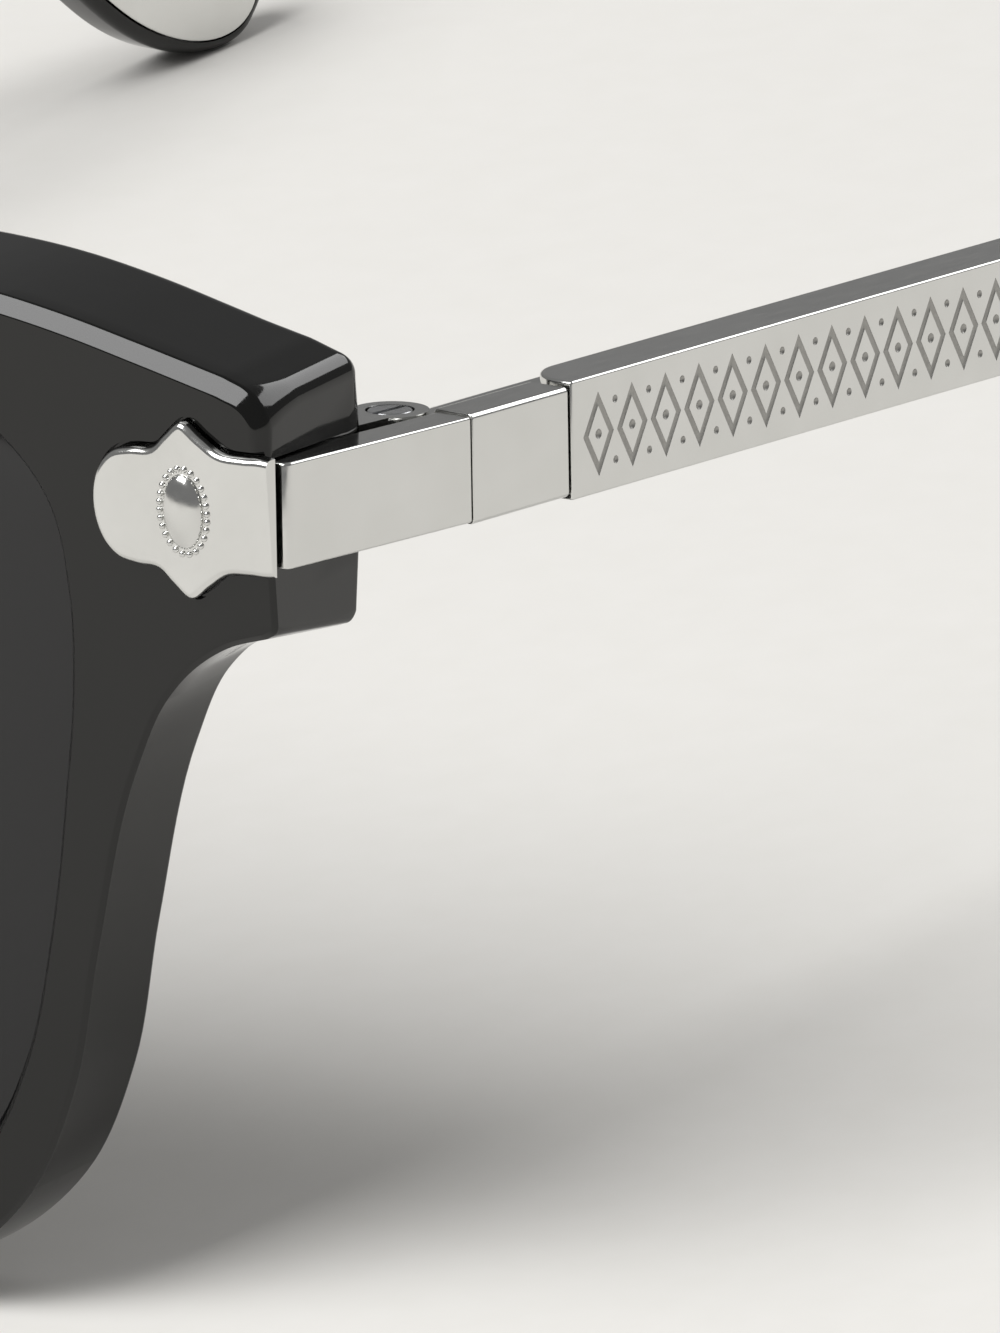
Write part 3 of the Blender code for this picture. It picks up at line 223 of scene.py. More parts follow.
def finish(name, colour, **shader_inputs):
    """A new material whose shader's plain values are set."""
    material = bpy.data.materials.new(name)
    material.use_nodes = True
    shader = material.node_tree.nodes["Principled BSDF"]
    shader.inputs["Base Color"].default_value = linear(colour)
    for label, value in shader_inputs.items():
        shader.inputs[label.replace("_", " ")].default_value = value
    return material, material.node_tree, shader


def add_node(tree, kind, inputs, **settings):
    """Adds a node; an input is a value, or the output of another node to link."""
    made = tree.nodes.new("ShaderNode" + kind)
    for label, value in settings.items():
        setattr(made, label, value)
    for label, value in inputs.items():
        if isinstance(value, bpy.types.NodeSocket):
            tree.links.new(value, made.inputs[label])
        else:
            made.inputs[label].default_value = value
    return made


def mottle(tree, size, detail, stretch=None, turn=(0, 0, 0)):
    """A pattern on the piece with blobs of about a size in millimetres, drawn out along some axes."""
    place = add_node(tree, "TexCoord", {}).outputs["Object"]
    if stretch:
        drawn_out = add_node(tree, "Mapping", {"Vector": place, "Rotation": turn, "Scale": stretch})
        place = drawn_out.outputs["Vector"]
    noise = add_node(tree, "TexNoise", {"Vector": place, "Scale": 1000 / size, "Detail": detail})
    return noise.outputs["Fac"]


def drift(tree, shader, pattern, shades, gloss_pattern=None, gloss=None, spread=(0.3, 0.7)):
    """Moves the colour between two shades over a pattern, and the roughness between two values."""
    first, second = (linear(shade) for shade in shades)
    tone = add_node(tree, "Mix", {"Factor": pattern, "A": first, "B": second}, data_type="RGBA")
    tree.links.new(tone.outputs["Result"], shader.inputs["Base Color"])
    if gloss:
        level = add_node(tree, "MapRange", {
            "Value": gloss_pattern, "From Min": spread[0], "From Max": spread[1],
            "To Min": gloss[0], "To Max": gloss[1],
        })
        tree.links.new(level.outputs["Result"], shader.inputs["Roughness"])


# %% [markdown]
# ### Floor
#
# Matt seamless studio paper. It is almost one colour, with a faint fibre mottle.

# %% Matt studio paper
paper, tree, shader = finish("matt_studio_paper", "#E8E6E1", Roughness=0.85)
drift(tree, shader, mottle(tree, 3.0, 3.0), ("#E6E4DF", "#EAE8E4"))
floor.data.materials.append(paper)
print(paper.name, "on the floor")

# %% [markdown]
# ### Black acetate
#
# Sheet acetate, cut and then tumbled in wooden pegs and paste until it shines like a liquid. Under the gloss
# it is a very dark warm black. The tumbling leaves the surface gently uneven, on the scale of a millimetre,
# and a wiped pair has some fine hairlines. Its refractive index is 1.48.

# %% Tumbled black acetate
acetate, tree, shader = finish("tumbled_black_acetate", "#080807", Roughness=0.07, IOR=1.48)
cloud, swell = mottle(tree, 6.0, 3.0), mottle(tree, 1.8, 1.0)
hairline = mottle(tree, 1.6, 5.0, stretch=(1.0, 14.0, 1.0), turn=(0.2, 0.5, 0.9))
drift(tree, shader, cloud, ("#060605", "#0B0B09"), hairline, (0.05, 0.11), (0.35, 0.75))
uneven = add_node(tree, "Bump", {"Height": swell, "Strength": 0.12, "Distance": 0.03 * MM})
tree.links.new(uneven.outputs["Normal"], shader.inputs["Normal"])
print(acetate.name, len(tree.nodes), "nodes")

# %% [markdown]
# ### Polished plated metal
#
# The arms, plaques and hinges are nickel silver, buffed and plated in a pale white metal. Buffing runs along
# the part and leaves lines too fine to count, about 0.05 mm apart. They are drawn 0.4 mm apart here, because
# finer ones would not show. They make the gloss a little streaky.

# %% Buffed white plating
plating, tree, shader = finish("buffed_white_plating", "#D6D6D4", Metallic=1.0, Roughness=0.14)
blush, lines = mottle(tree, 4.0, 2.0), mottle(tree, 0.4, 4.0, stretch=(1.0, 0.08, 1.0))
drift(tree, shader, blush, ("#D0D0CD", "#DCDCDA"), lines, (0.11, 0.19))
buffed = add_node(tree, "Bump", {"Height": lines, "Strength": 0.10, "Distance": 0.01 * MM})
tree.links.new(buffed.outputs["Normal"], shader.inputs["Normal"])
print(plating.name, len(tree.nodes), "nodes")

# %% [markdown]
# ### Engraved floor
#
# The engraved lines are cut after plating and left matt, so they read as soft grey against the polish.

# %% Matt engraved floor
engraved, tree, shader = finish("matt_engraved_floor", "#B2B1AE", Metallic=1.0, Roughness=0.4)
grain = mottle(tree, 0.15, 3.0)
drift(tree, shader, grain, ("#9A9996", "#B6B5B1"), grain, (0.35, 0.6))
print(engraved.name, len(tree.nodes), "nodes")

# %% [markdown]
# ### Turned steel
#
# Screws, pins and the small pieces of the spring are plain steel from the lathe: greyer than the plating,
# with turning marks that catch the light.

# %% Turned screw steel
turned_steel, tree, shader = finish("turned_screw_steel", "#C2C3C5", Metallic=1.0, Roughness=0.28)
marks = mottle(tree, 0.3, 3.0, stretch=(0.3, 0.3, 3.0))
drift(tree, shader, marks, ("#B4B5B7", "#CECFD1"), marks, (0.2, 0.36))
print(turned_steel.name, len(tree.nodes), "nodes")

# %% [markdown]
# ### Tinted lens
#
# Dark grey tinted polymer, cast and hard-coated. It lets a few percent of the light through, so from outside
# it is nearly black, and its polish is better than the acetate's. Its refractive index is 1.50.

# %% Hard-coated dark lens
lens_look, tree, shader = finish(
    "hard_coated_dark_lens", "#0F0F11", Roughness=0.02, IOR=1.5, Transmission_Weight=0.3
)
film = mottle(tree, 9.0, 2.0)
drift(tree, shader, film, ("#131315", "#171719"), film, (0.015, 0.035))
print(lens_look.name, len(tree.nodes), "nodes")

# %% [markdown]
# ## What stays from the mechanical model
#
# The small inner pieces, which show only when a temple moves, are already the right shape. They stay and get
# their finish.

# %% Finishes for the carried-over pieces
FINISHES = {
    "black_acetate": acetate, "polished_steel": plating, "screw_steel": turned_steel, "dark_lens": lens_look,
}
STAYS = {
    "spring_bush": turned_steel, "spring_nut": turned_steel, "tip_spine": turned_steel,
    "housing_screw": turned_steel, "plate_screw_upper": turned_steel, "plate_screw_lower": turned_steel,
    "temple_core": acetate,
}
for kind, look in STAYS.items():
    for side in ("left", "right"):
        kept = bpy.data.objects[f"{kind}_{side}"]
        kept.data.materials.clear()
        kept.data.materials.append(look)
print(len(STAYS) * 2, "pieces keep their shape")

# %% [markdown]
# ## Tools for the bench
#
# Most pieces of such a pair start as a bar or a rod that is cut, drilled and polished, so the tools here do
# the same: add a bar or a rod, cut one piece out of another, weld two together, and round chosen edges.

# %% Bars, rods and cuts
def only(piece):
    """Selects one piece and nothing else."""
    bpy.ops.object.select_all(action="DESELECT")
    piece.select_set(True)
    bpy.context.view_layer.objects.active = piece


def named(name):
    """Names the piece that was just added, and puts its place and size into its mesh."""
    piece = bpy.context.object
    piece.name = piece.data.name = name
    only(piece)
    bpy.ops.object.transform_apply(location=True, rotation=True, scale=True)
    return piece


def bar(name, low, high):
    """A block between two corners."""
    low, high = Vector(low), Vector(high)
    bpy.ops.mesh.primitive_cube_add(size=1, location=(low + high) / 2, scale=high - low)
    return named(name)


TURN_TO = {"X": (0, math.pi / 2, 0), "Y": (-math.pi / 2, 0, 0), "Z": (0, 0, 0)}


def rod(name, radius, start, length, axis="Z", sides=64):
    """A round bar from a point, along an axis."""
    middle = Vector(start)
    middle["XYZ".index(axis)] += length / 2
    bpy.ops.mesh.primitive_cylinder_add(
        vertices=sides, radius=radius, depth=abs(length), location=middle, rotation=TURN_TO[axis]
    )
    return named(name)


def combine(piece, tool, operation="DIFFERENCE"):
    """Cuts a tool out of a piece, or welds it on, and removes the tool."""
    modifier = piece.modifiers.new(operation.lower(), "BOOLEAN")
    modifier.operation = operation
    modifier.object = tool
    modifier.solver = "EXACT"
    modifier.material_mode = "TRANSFER"
    only(piece)
    bpy.ops.object.modifier_apply(modifier=modifier.name)
    bpy.data.objects.remove(tool)


def weld(piece, parts):
    """Welds parts onto a piece, one after another."""
    for part in parts:
        combine(piece, part, "UNION")


def copied(piece, place):
    """A copy of a piece with its own mesh, moved from the origin to a place."""
    only(piece)
    bpy.ops.object.duplicate()
    bpy.context.object.location = place
    return named(piece.name)


def joined(pieces):
    """Joins loose copies into one piece, without cutting them together."""
    only(pieces[0])
    for piece in pieces[1:]:
        piece.select_set(True)
    bpy.ops.object.join()
    return pieces[0]


# %% [markdown]
# A polished edge is never sharp, and the round of an edge is where metal shows a bright line. Some edges are
# chosen by their place, and all the rest get one small bevel.

# %% Rounded edges
def agree(*values):
    """True where all values are the same to a hundredth of a millimetre."""
    return max(values) - min(values) < 0.01 * MM


def edges_at(**places):
    """A test for edges that lie at the given places along x, y or z."""
    return lambda start, end: all(
        agree(getattr(start, axis), getattr(end, axis), place) for axis, place in places.items()
    )


def round_edges(piece, width, segments, wanted):
    """Rounds the edges whose two ends pass a test."""
    only(piece)
    bpy.ops.object.mode_set(mode="EDIT")
    bpy.ops.mesh.select_mode(type="EDGE")
    bpy.ops.mesh.select_all(action="DESELECT")
    bpy.ops.object.mode_set(mode="OBJECT")
    points = [vertex.co.copy() for vertex in piece.data.vertices]
    for edge in piece.data.edges:
        edge.select = wanted(*(points[index] for index in edge.vertices))
    bpy.ops.object.mode_set(mode="EDIT")
    bpy.ops.mesh.bevel(offset=width, segments=segments, profile=0.5, clamp_overlap=True)
    bpy.ops.object.mode_set(mode="OBJECT")


def soften(piece, width, segments, degrees=40):
    """A small bevel on every edge that is sharper than an angle."""
    modifier = piece.modifiers.new("soften", "BEVEL")
    modifier.width = width
    modifier.segments = segments
    modifier.limit_method = "ANGLE"
    modifier.angle_limit = math.radians(degrees)
    only(piece)
    bpy.ops.object.modifier_apply(modifier=modifier.name)


# %% [markdown]
# ## Curves
#
# The front, the plaque and the ear tips have outlines that flow. Each is given by few points, with a smooth
# curve through them. The curves are the same as in the mechanical model, but are read at more places here,
# so the edge looks cut and not folded.

# %% Curves through points
def through(points, steps, closed=False):
    """Points along a smooth curve that passes through all the given ones."""
    points = [Vector(point) for point in points]
    count = len(points)
    spans = count if closed else count - 1

    def at_index(index):
        return points[index % count] if closed else points[min(max(index, 0), count - 1)]

    def slope(index):
        before, here, after = at_index(index - 1), at_index(index), at_index(index + 1)
        first = max((here - before).length, 1e-9)
        second = max((after - here).length, 1e-9)
        if not closed and index in (0, count - 1):
            return (after - before) / (after - before).length
        return ((here - before) / first * second + (after - here) / second * first) / (first + second)

    curve = []
    for span in range(spans):
        start, end = at_index(span), at_index(span + 1)
        length = (end - start).length
        leave, arrive = slope(span) * length, slope((span + 1) % count if closed else span + 1) * length
        for step in range(steps):
            t = step / steps
            curve.append(
                start * (2 * t**3 - 3 * t**2 + 1) + leave * (t**3 - 2 * t**2 + t)
                + end * (3 * t**2 - 2 * t**3) + arrive * (t**3 - t**2)
            )
    if not closed:
        curve.append(points[-1])
    return curve


def fillet(before, corner, after, radius, steps):
    """Points of an arc that rounds a corner of an outline."""
    before, corner, after = Vector(before), Vector(corner), Vector(after)
    one, two = (before - corner).normalized(), (after - corner).normalized()
    half = one.angle(two) / 2
    centre = corner + (one + two).normalized() * radius / math.sin(half)
    start = corner + one * radius / math.tan(half) - centre
    end = corner + two * radius / math.tan(half) - centre
    sweep = math.pi - 2 * half
    turn = sweep if start.x * end.y - start.y * end.x > 0 else -sweep
    return [centre + Matrix.Rotation(turn * step / steps, 2) @ start for step in range(steps + 1)]


def normals(ring):
    """Unit normals of a closed flat ring, to the right of its direction."""
    found = []
    for index, point in enumerate(ring):
        along = (ring[(index + 1) % len(ring)] - ring[index - 1]).normalized()
        found.append(Vector((along.y, -along.x)))
    return found


def offset(ring, widths):
    """The ring moved to its right by a width, or by one width for each point."""
    if not hasattr(widths, "__len__"):
        widths = [widths] * len(ring)
    return [point + normal * width for point, normal, width in zip(ring, normals(ring), widths)]


# %% [markdown]
# A shape with such an outline is drawn as a jeweller builds up wax: a disc is laid along the first outline
# and extruded from one outline to the next, each a little smaller or further back. Rings that follow an arc
# make a rounded edge of exactly the wanted size.

# %% Extruding from ring to ring
def stack(name, rings):
    """A disc laid along the first ring and extruded from ring to ring, so it ends closed."""
    count = len(rings[0])
    bpy.ops.object.select_all(action="DESELECT")
    bpy.ops.mesh.primitive_circle_add(vertices=count, fill_type="NGON")
    piece = named(name)
    for vertex, point in zip(piece.data.vertices, rings[0]):
        vertex.co = point
    order = {tuple(vertex.co): index for index, vertex in enumerate(piece.data.vertices)}
    for ring in rings[1:]:
        bpy.ops.object.mode_set(mode="EDIT")
        bpy.ops.mesh.extrude_region_move()
        bpy.ops.object.mode_set(mode="OBJECT")
        top = [vertex for vertex in piece.data.vertices if vertex.select]
        places = [order[tuple(vertex.co)] for vertex in top]
        order = {}
        for vertex, index in zip(top, places):
            vertex.co = ring[index]
            order[tuple(vertex.co)] = index
    bpy.ops.object.mode_set(mode="EDIT")
    bpy.ops.mesh.select_all(action="SELECT")
    bpy.ops.mesh.normals_make_consistent(inside=False)
    bpy.ops.object.mode_set(mode="OBJECT")
    return piece


# %% [markdown]
# ## Left and right
#
# Only the left piece of each kind is made. It is moved to its place on the table, and its twin is a mirrored
# copy with its own mesh. A mirrored mesh is inside out, so its normals are recalculated. Last, flat faces
# are shaded flat and their rounded edges smooth.

# %% Placing a pair of pieces
def polish(piece, degrees):
    """Shades the flat faces flat and their rounded edges smooth."""
    only(piece)
    bpy.ops.object.shade_smooth_by_angle(angle=math.radians(degrees))
    modifier = piece.modifiers.new("flat_faces", "WEIGHTED_NORMAL")
    modifier.keep_sharp = True
    modifier.weight = 100
    bpy.ops.object.modifier_apply(modifier=modifier.name)


def mirrored(piece, name):
    """A copy on the other side of the pair, with its own mesh."""
    only(piece)
    bpy.ops.object.duplicate()
    twin = bpy.context.object
    twin.name = twin.data.name = name
    bpy.ops.object.mode_set(mode="EDIT")
    bpy.ops.mesh.select_all(action="SELECT")
    bpy.ops.transform.resize(value=(-1, 1, 1), center_override=(0, 0, 0))
    bpy.ops.mesh.normals_make_consistent(inside=False)
    bpy.ops.object.mode_set(mode="OBJECT")
    return twin


def place_pair(piece, kind, working_frame, body, slot, degrees=30):
    """Puts a left piece and its mirrored twin in their places, where they stand for the CAD nodes."""
    if not any(piece.data.materials):
        piece.data.materials.clear()
        piece.data.materials.append(FINISHES[slot])
    piece.data.transform(working_frame)
    piece.name = piece.data.name = f"{kind}_left_dressed"
    pair = {"left": piece, "right": mirrored(piece, f"{kind}_right_dressed")}
    for side, item in pair.items():
        polish(item, degrees)
        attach(item, body.replace("left", side))
        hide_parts(f"{kind}_{side}")
    print(kind, len(piece.data.polygons), "faces a side")


def cut_both(piece, tool):
    """Cuts a tool and its mirrored twin out of a piece."""
    twin = mirrored(tool, f"other_{tool.name}")
    combine(piece, tool)
    combine(piece, twin)


def cut_across(piece, axis, places):
    """Bisects a piece square to an axis at some places, so that it can step or bend there."""
    only(piece)
    bpy.ops.object.mode_set(mode="EDIT")
    for place in places:
        bpy.ops.mesh.select_all(action="SELECT")
        bpy.ops.mesh.bisect(plane_co=axis * place, plane_no=axis)
    bpy.ops.object.mode_set(mode="OBJECT")


# %% [markdown]
# ## The acetate front
#
# The front is milled from a flat sheet of acetate, then bent warm over a form. The same is done here: the
# outline is drawn flat, its edges are rounded, the lens openings with their grooves are cut, and the result
# is bent to a radius of 412 mm and tilted by 4 degrees. The sloping edge along the brow stays crisp, and the
# edge behind it is a soft round.

# %% Sizes of the front
FRONT_RADIUS = 412 * MM
FRONT_TILT = math.radians(4.0)
BROW_DEPTH, RIM_DEPTH = 8.8 * MM, 5.8 * MM
STEP_TOP, STEP_BOTTOM = -4.5 * MM, -10.0 * MM
LENS_INNER = 9.0 * MM
BRIDGE_TOP, BRIDGE_BOTTOM = 7.4 * MM, -0.4 * MM
BROW_HEIGHT = 5.2 * MM
END_LENGTH = 12.07 * MM
END_TOP, END_BOTTOM, END_DROP = 6.2 * MM, -5.9 * MM, 1.3 * MM
RIM_WIDTH, LOW_RIM_WIDTH, NOSE_RIM_WIDTH = 2.9 * MM, 3.7 * MM, 3.6 * MM
BROW_BEVEL, EDGE_BEVEL = 0.85 * MM, 0.25 * MM
TOP_BACK_ROUND, BACK_ROUND = 1.5 * MM, 0.45 * MM
LOW_CORNER_ROUND = 0.6 * MM
CORNER_ROUND, SOFT_CORNER, SOFT_DEPTH = 1.4 * MM, 2.7 * MM, 3.4 * MM
LENS_WIDTH, LENS_HEIGHT, LENS_TOP = 51.4 * MM, 43.3 * MM, 5.0 * MM
LENS_THICKNESS, LENS_SET_BACK, LENS_CROWN = 2.0 * MM, 1.1 * MM, 0.8 * MM
GROOVE_DEPTH, GROOVE_FLOOR = 0.9 * MM, 0.6 * MM
OPENING_BEVEL = 0.4 * MM
FIT = 0.1 * MM
SIDE = LENS_INNER + LENS_WIDTH + END_LENGTH
END_HEIGHT = END_TOP - END_BOTTOM
FRONT_SAG = FRONT_RADIUS - math.sqrt(FRONT_RADIUS**2 - HALF_WIDTH**2)
LUG_EDGE_ALONG = FRONT_RADIUS * math.asin(HALF_WIDTH / FRONT_RADIUS)

# Lens opening: across from the nose (0) outward (1), and down from the top (0)
LENS_SHAPE = (
    (0.500, 0.000), (0.740, 0.005), (0.870, 0.024), (0.935, 0.061), (0.982, 0.126), (1.000, 0.235),
    (0.997, 0.340), (0.982, 0.457), (0.954, 0.627), (0.914, 0.785), (0.866, 0.885), (0.785, 0.960),
    (0.620, 0.998), (0.430, 0.995), (0.290, 0.955), (0.180, 0.875), (0.100, 0.750), (0.050, 0.600),
    (0.015, 0.420), (0.000, 0.240), (0.020, 0.110), (0.080, 0.040), (0.220, 0.008),
)
BROW_SHAPE = ((0.260, 0.27), (0.520, 0.02), (0.760, 0.00), (0.942, 0.135), (1.023, 0.29))
UNDER_SHAPE = ((0.033, 0.017), (0.249, 0.083), (0.398, 0.174), (0.555, 0.331), (0.713, 0.620))
NOSE_SHAPE = ((0.533, 0.667), (0.311, 0.205))
RIM_FOLLOWS, NOSE_SIDE = range(8, 19), slice(16, 20)      # points of the lens shape
LOWEST = 0.36      # where under the lens the rim is widest
lens_points = [Vector((LENS_INNER + a * LENS_WIDTH, LENS_TOP - b * LENS_HEIGHT)) for a, b in LENS_SHAPE]
print("the front reaches", round(SIDE / MM, 2), "mm to each side before it is bent")

# %% [markdown]
# One half of the outline is drawn, from the bridge along the brow to the end piece and back under the rim,
# and is then mirrored. The rim follows the lens opening and gets a little wider towards the nose.

# %% Outline of the front
def rim_width(share):
    """Width of a rim, from its outer side (0) under the lens to its nose side (1)."""
    if share < LOWEST:
        return RIM_WIDTH + (LOW_RIM_WIDTH - RIM_WIDTH) * share / LOWEST
    return LOW_RIM_WIDTH + (NOSE_RIM_WIDTH - LOW_RIM_WIDTH) * (share - LOWEST) / (1 - LOWEST)


def front_outline(corner_round):
    """Outer edge of the front, clockwise from the top of the bridge, seen from the front."""
    brow_top = LENS_TOP + BROW_HEIGHT
    slope_start = Vector((SIDE - 0.2 * END_LENGTH, END_TOP + 0.025 * END_HEIGHT))
    corner = Vector((SIDE, END_TOP - 0.05 * END_HEIGHT))
    low_corner = Vector((SIDE, END_BOTTOM))
    over_nose = BRIDGE_TOP + 0.04 * BROW_HEIGHT
    brow = [(-LENS_INNER, over_nose), (0, BRIDGE_TOP), (LENS_INNER, over_nose)]
    brow += [(LENS_INNER + a * LENS_WIDTH, brow_top - b * BROW_HEIGHT) for a, b in BROW_SHAPE]
    brow += [(SIDE - 0.6 * END_LENGTH, (brow_top + END_TOP) / 2 - 0.08 * BROW_HEIGHT), slope_start]
    brow_steps, rim_steps = 12, 9
    brow = through(brow, brow_steps)[brow_steps:]
    outward = normals(lens_points)
    last = len(RIM_FOLLOWS) - 1
    rim = [
        lens_points[index] - outward[index] * rim_width(step / last)
        for step, index in enumerate(RIM_FOLLOWS)
    ]
    under = [(SIDE - a * END_LENGTH, END_BOTTOM - b * END_HEIGHT) for a, b in UNDER_SHAPE]
    bridge_height = BRIDGE_TOP - BRIDGE_BOTTOM
    nose = [(a * LENS_INNER, BRIDGE_BOTTOM - b * bridge_height) for a, b in NOSE_SHAPE]
    nose += [(0, BRIDGE_BOTTOM), (-nose[-1][0], nose[-1][1])]
    lower = through(under + rim + nose, rim_steps)[:-rim_steps]
    shoulder = fillet(slope_start, corner, low_corner, corner_round, 12)
    half = brow[:-1] + [slope_start.lerp(shoulder[0], step / 4) for step in range(4)] + shoulder
    half += [Vector((SIDE, (END_TOP + END_BOTTOM) / 2))]
    half += fillet(corner, low_corner, under[1], LOW_CORNER_ROUND, 6)
    half += lower[1:]
    return half + [Vector((-point.x, point.y)) for point in reversed(half[1:-1])]


print("outline of the front:", len(front_outline(CORNER_ROUND)), "points")

# %% [markdown]
# The front is deep at the brow and slim at the rims, with a smooth step between. Any point of the flat
# drawing can be moved to where it lies once the front is bent and tilted.

# %% Depth and bend of the front
def front_depth(up):
    """Front-to-back depth of the front at a height; the back of the brow stands upright."""
    t = min(max((up - STEP_BOTTOM) / (STEP_TOP - STEP_BOTTOM), 0.0), 1.0)
    upright = BROW_DEPTH + up * math.tan(FRONT_TILT)
    return RIM_DEPTH + (upright - RIM_DEPTH) * t * t * (3 - 2 * t)


def near_end(point):
    """1 at the lower corner of an end piece, falling to 0 away from it."""
    away = math.hypot(abs(point.x) - SIDE, point.y - END_BOTTOM)
    return max(0.0, 1 - away / END_HEIGHT * 2)


def rear_depth(point):
    """Depth of the back edge, which sits lower than the front edge under an end piece."""
    return front_depth(point.y - END_DROP * near_end(point))


def on_front(along, up, depth):
    """A point of the bent front: along its bend, up its height and back from its face."""
    turn = along / FRONT_RADIUS
    x = (FRONT_RADIUS - depth) * math.sin(turn)
    y = FRONT_RADIUS - (FRONT_RADIUS - depth) * math.cos(turn) - FRONT_SAG
    lean, rise = math.cos(FRONT_TILT), math.sin(FRONT_TILT)
    return Vector((x, y * lean - up * rise, y * rise + up * lean))


def bend(piece):
    """Moves a piece drawn flat, as (along, depth, up), onto the bent front."""
    for vertex in piece.data.vertices:
        along, depth, up = vertex.co
        vertex.co = on_front(along, up, depth)
    return piece


# %% [markdown]
# The profile of the outer edge is worked out at each point of the outline. The sloping edge is wide and crisp
# where the outline faces up, and grows a little towards the end pieces. At the upper end corners it turns
# into a soft round, because that is where the polishing wheel takes off most: there the outline itself is
# rounder in front than it is a few millimetres behind. The rear edge is an arc.

# %% The front blank
SIDE_ROUND, SIDE_BACK_ROUND = 0.80 * MM, 1.15 * MM
WALL_DEPTHS = (1.8 * MM, 2.3 * MM, 2.8 * MM, 3.4 * MM)
BROW_BEVEL_FROM = 45.0 * MM     # where along the brow the sloping edge starts to grow
BEVEL_GROWTH, BACK_GROWTH = (0.85, 0.2), (0.75, 0.35)      # share at the bridge, and gain at the end
CORNER_TAPER, TAPER_REACH = 0.3, 5 * MM                    # the rear edge gets slimmer near a corner
TOP_SLOPE_ROUND, WALL_SLOPE_ROUND = (0.22, 1.2), (0.30, 1.1)      # above, and gain at the side
SOFTENING = 1.5      # how fast the soft corner turns crisp towards the back


def edge_profile(point, normal):
    """Points (inward, back) over the outer edge at one place, from the front face to the back face."""
    facing_up = max(0.0, -normal.y) ** 2
    at_side = 1.0 if abs(point.x) > SIDE - 2 * CORNER_ROUND else 0.0
    facing_out = at_side * (1 - abs(normal.y)) * min(max(point.y / END_TOP, 0), 1)
    growth = min(max((abs(point.x) - BROW_BEVEL_FROM) / (SIDE - BROW_BEVEL_FROM), 0), 1)
    brow_bevel = BROW_BEVEL * (BEVEL_GROWTH[0] + BEVEL_GROWTH[1] * growth)
    bevel = EDGE_BEVEL + (brow_bevel - EDGE_BEVEL) * facing_up + (SIDE_ROUND - EDGE_BEVEL) * facing_out
    from_corner = min((SIDE - abs(point.x)) / TAPER_REACH, 1)
    top_back = TOP_BACK_ROUND * (BACK_GROWTH[0] + BACK_GROWTH[1] * growth)
    top_back *= 1 - CORNER_TAPER + CORNER_TAPER * from_corner
    back = BACK_ROUND + (top_back - BACK_ROUND) * facing_up + (SIDE_BACK_ROUND - BACK_ROUND) * facing_out
    depth = rear_depth(point)
    corners = [(bevel * 3, 0), (bevel, 0), (0, 0.8 * bevel), (0, depth), (back * 3, depth)]
    top_round, wall_round = (
        bevel * (least + gain * facing_out) for least, gain in (TOP_SLOPE_ROUND, WALL_SLOPE_ROUND)
    )
    profile = fillet(*corners[:3], top_round, 4) + fillet(*corners[1:4], wall_round, 4)
    return profile + [(0, wall) for wall in WALL_DEPTHS] + fillet(*corners[2:], back, 10)


outline, soft_outline = front_outline(CORNER_ROUND), front_outline(SOFT_CORNER)
outward, soft_outward = normals(outline), normals(soft_outline)
profiles = [edge_profile(point, normal) for point, normal in zip(outline, outward)]
rings = []
for level in range(len(profiles[0])):
    ring = []
    for index, profile in enumerate(profiles):
        inward, back = profile[level]
        soft = max(0.0, 1 - back / SOFT_DEPTH) ** SOFTENING
        point = outline[index].lerp(soft_outline[index], soft)
        normal = outward[index].lerp(soft_outward[index], soft).normalized()
        depth = rear_depth(outline[index])
        up = point.y + normal.y * inward - END_DROP * near_end(point) * back / depth
        if back > depth / 2:
            back += front_depth(up) - depth
        ring.append(Vector((point.x + normal.x * inward, back, up)))
    rings.append(ring)
front = stack("front", rings)
print("front blank:", len(front.data.polygons), "faces")

# %% [markdown]
# The back steps from the deep brow to the slimmer rims. A face can't follow that step by itself, so the blank
# gets a cut across every half millimetre there.

# %% Step in the back of the front
STEP_CUTS = 11
cut_across(front, Vector((0, 0, 1)), [
    STEP_BOTTOM + (STEP_TOP - STEP_BOTTOM) * number / STEP_CUTS for number in range(STEP_CUTS + 1)
])
print("with its step:", len(front.data.polygons), "faces")

# %% [markdown]
# The tool that cuts a lens opening is a plug with the bevels of both edges and the groove for the lens.

# %% Lens openings
opening = through(lens_points, 9, closed=True)
groove = LENS_SET_BACK + LENS_THICKNESS / 2
mouth = LENS_THICKNESS / 2 + FIT * 2
past = 1.0 * MM
LIP = (OPENING_BEVEL * 0.25, OPENING_BEVEL * 0.75)      # middle of a bevel, wider and deeper
LIP_END = OPENING_BEVEL * 1.3
PLUG = (      # wider than the opening, depth, and 1 where that counts from the back of the front
    (OPENING_BEVEL + past, -past, 0), (*LIP, 0), (0, LIP_END, 0), (0, groove - mouth, 0),
    (GROOVE_DEPTH, groove - GROOVE_FLOOR / 2, 0), (GROOVE_DEPTH, groove + GROOVE_FLOOR / 2, 0),
    (0, groove + mouth, 0), (0, -LIP_END, 1), (LIP[0], -LIP[1], 1), (OPENING_BEVEL + past, past, 1),
    (OPENING_BEVEL + past, BROW_DEPTH + 3 * past, 0),
)
cut_both(front, stack("plug", [
    [
        Vector((point.x, depth + from_back * front_depth(point.y), point.y))
        for point in offset(opening, -wider)
    ]
    for wider, depth, from_back in PLUG
]))
print("with its openings:", len(front.data.polygons), "faces")

# %% [markdown]
# ## The plaque
#
# Each end piece carries a small plate of plated metal, let into the acetate and held by two prongs. Its
# outline swells to a point above and below. On its face sits a plain oval dome in a ring of small beads, as
# on old jewellery, which is a common ornament. The plate is drawn flat like the front, and bent with it.

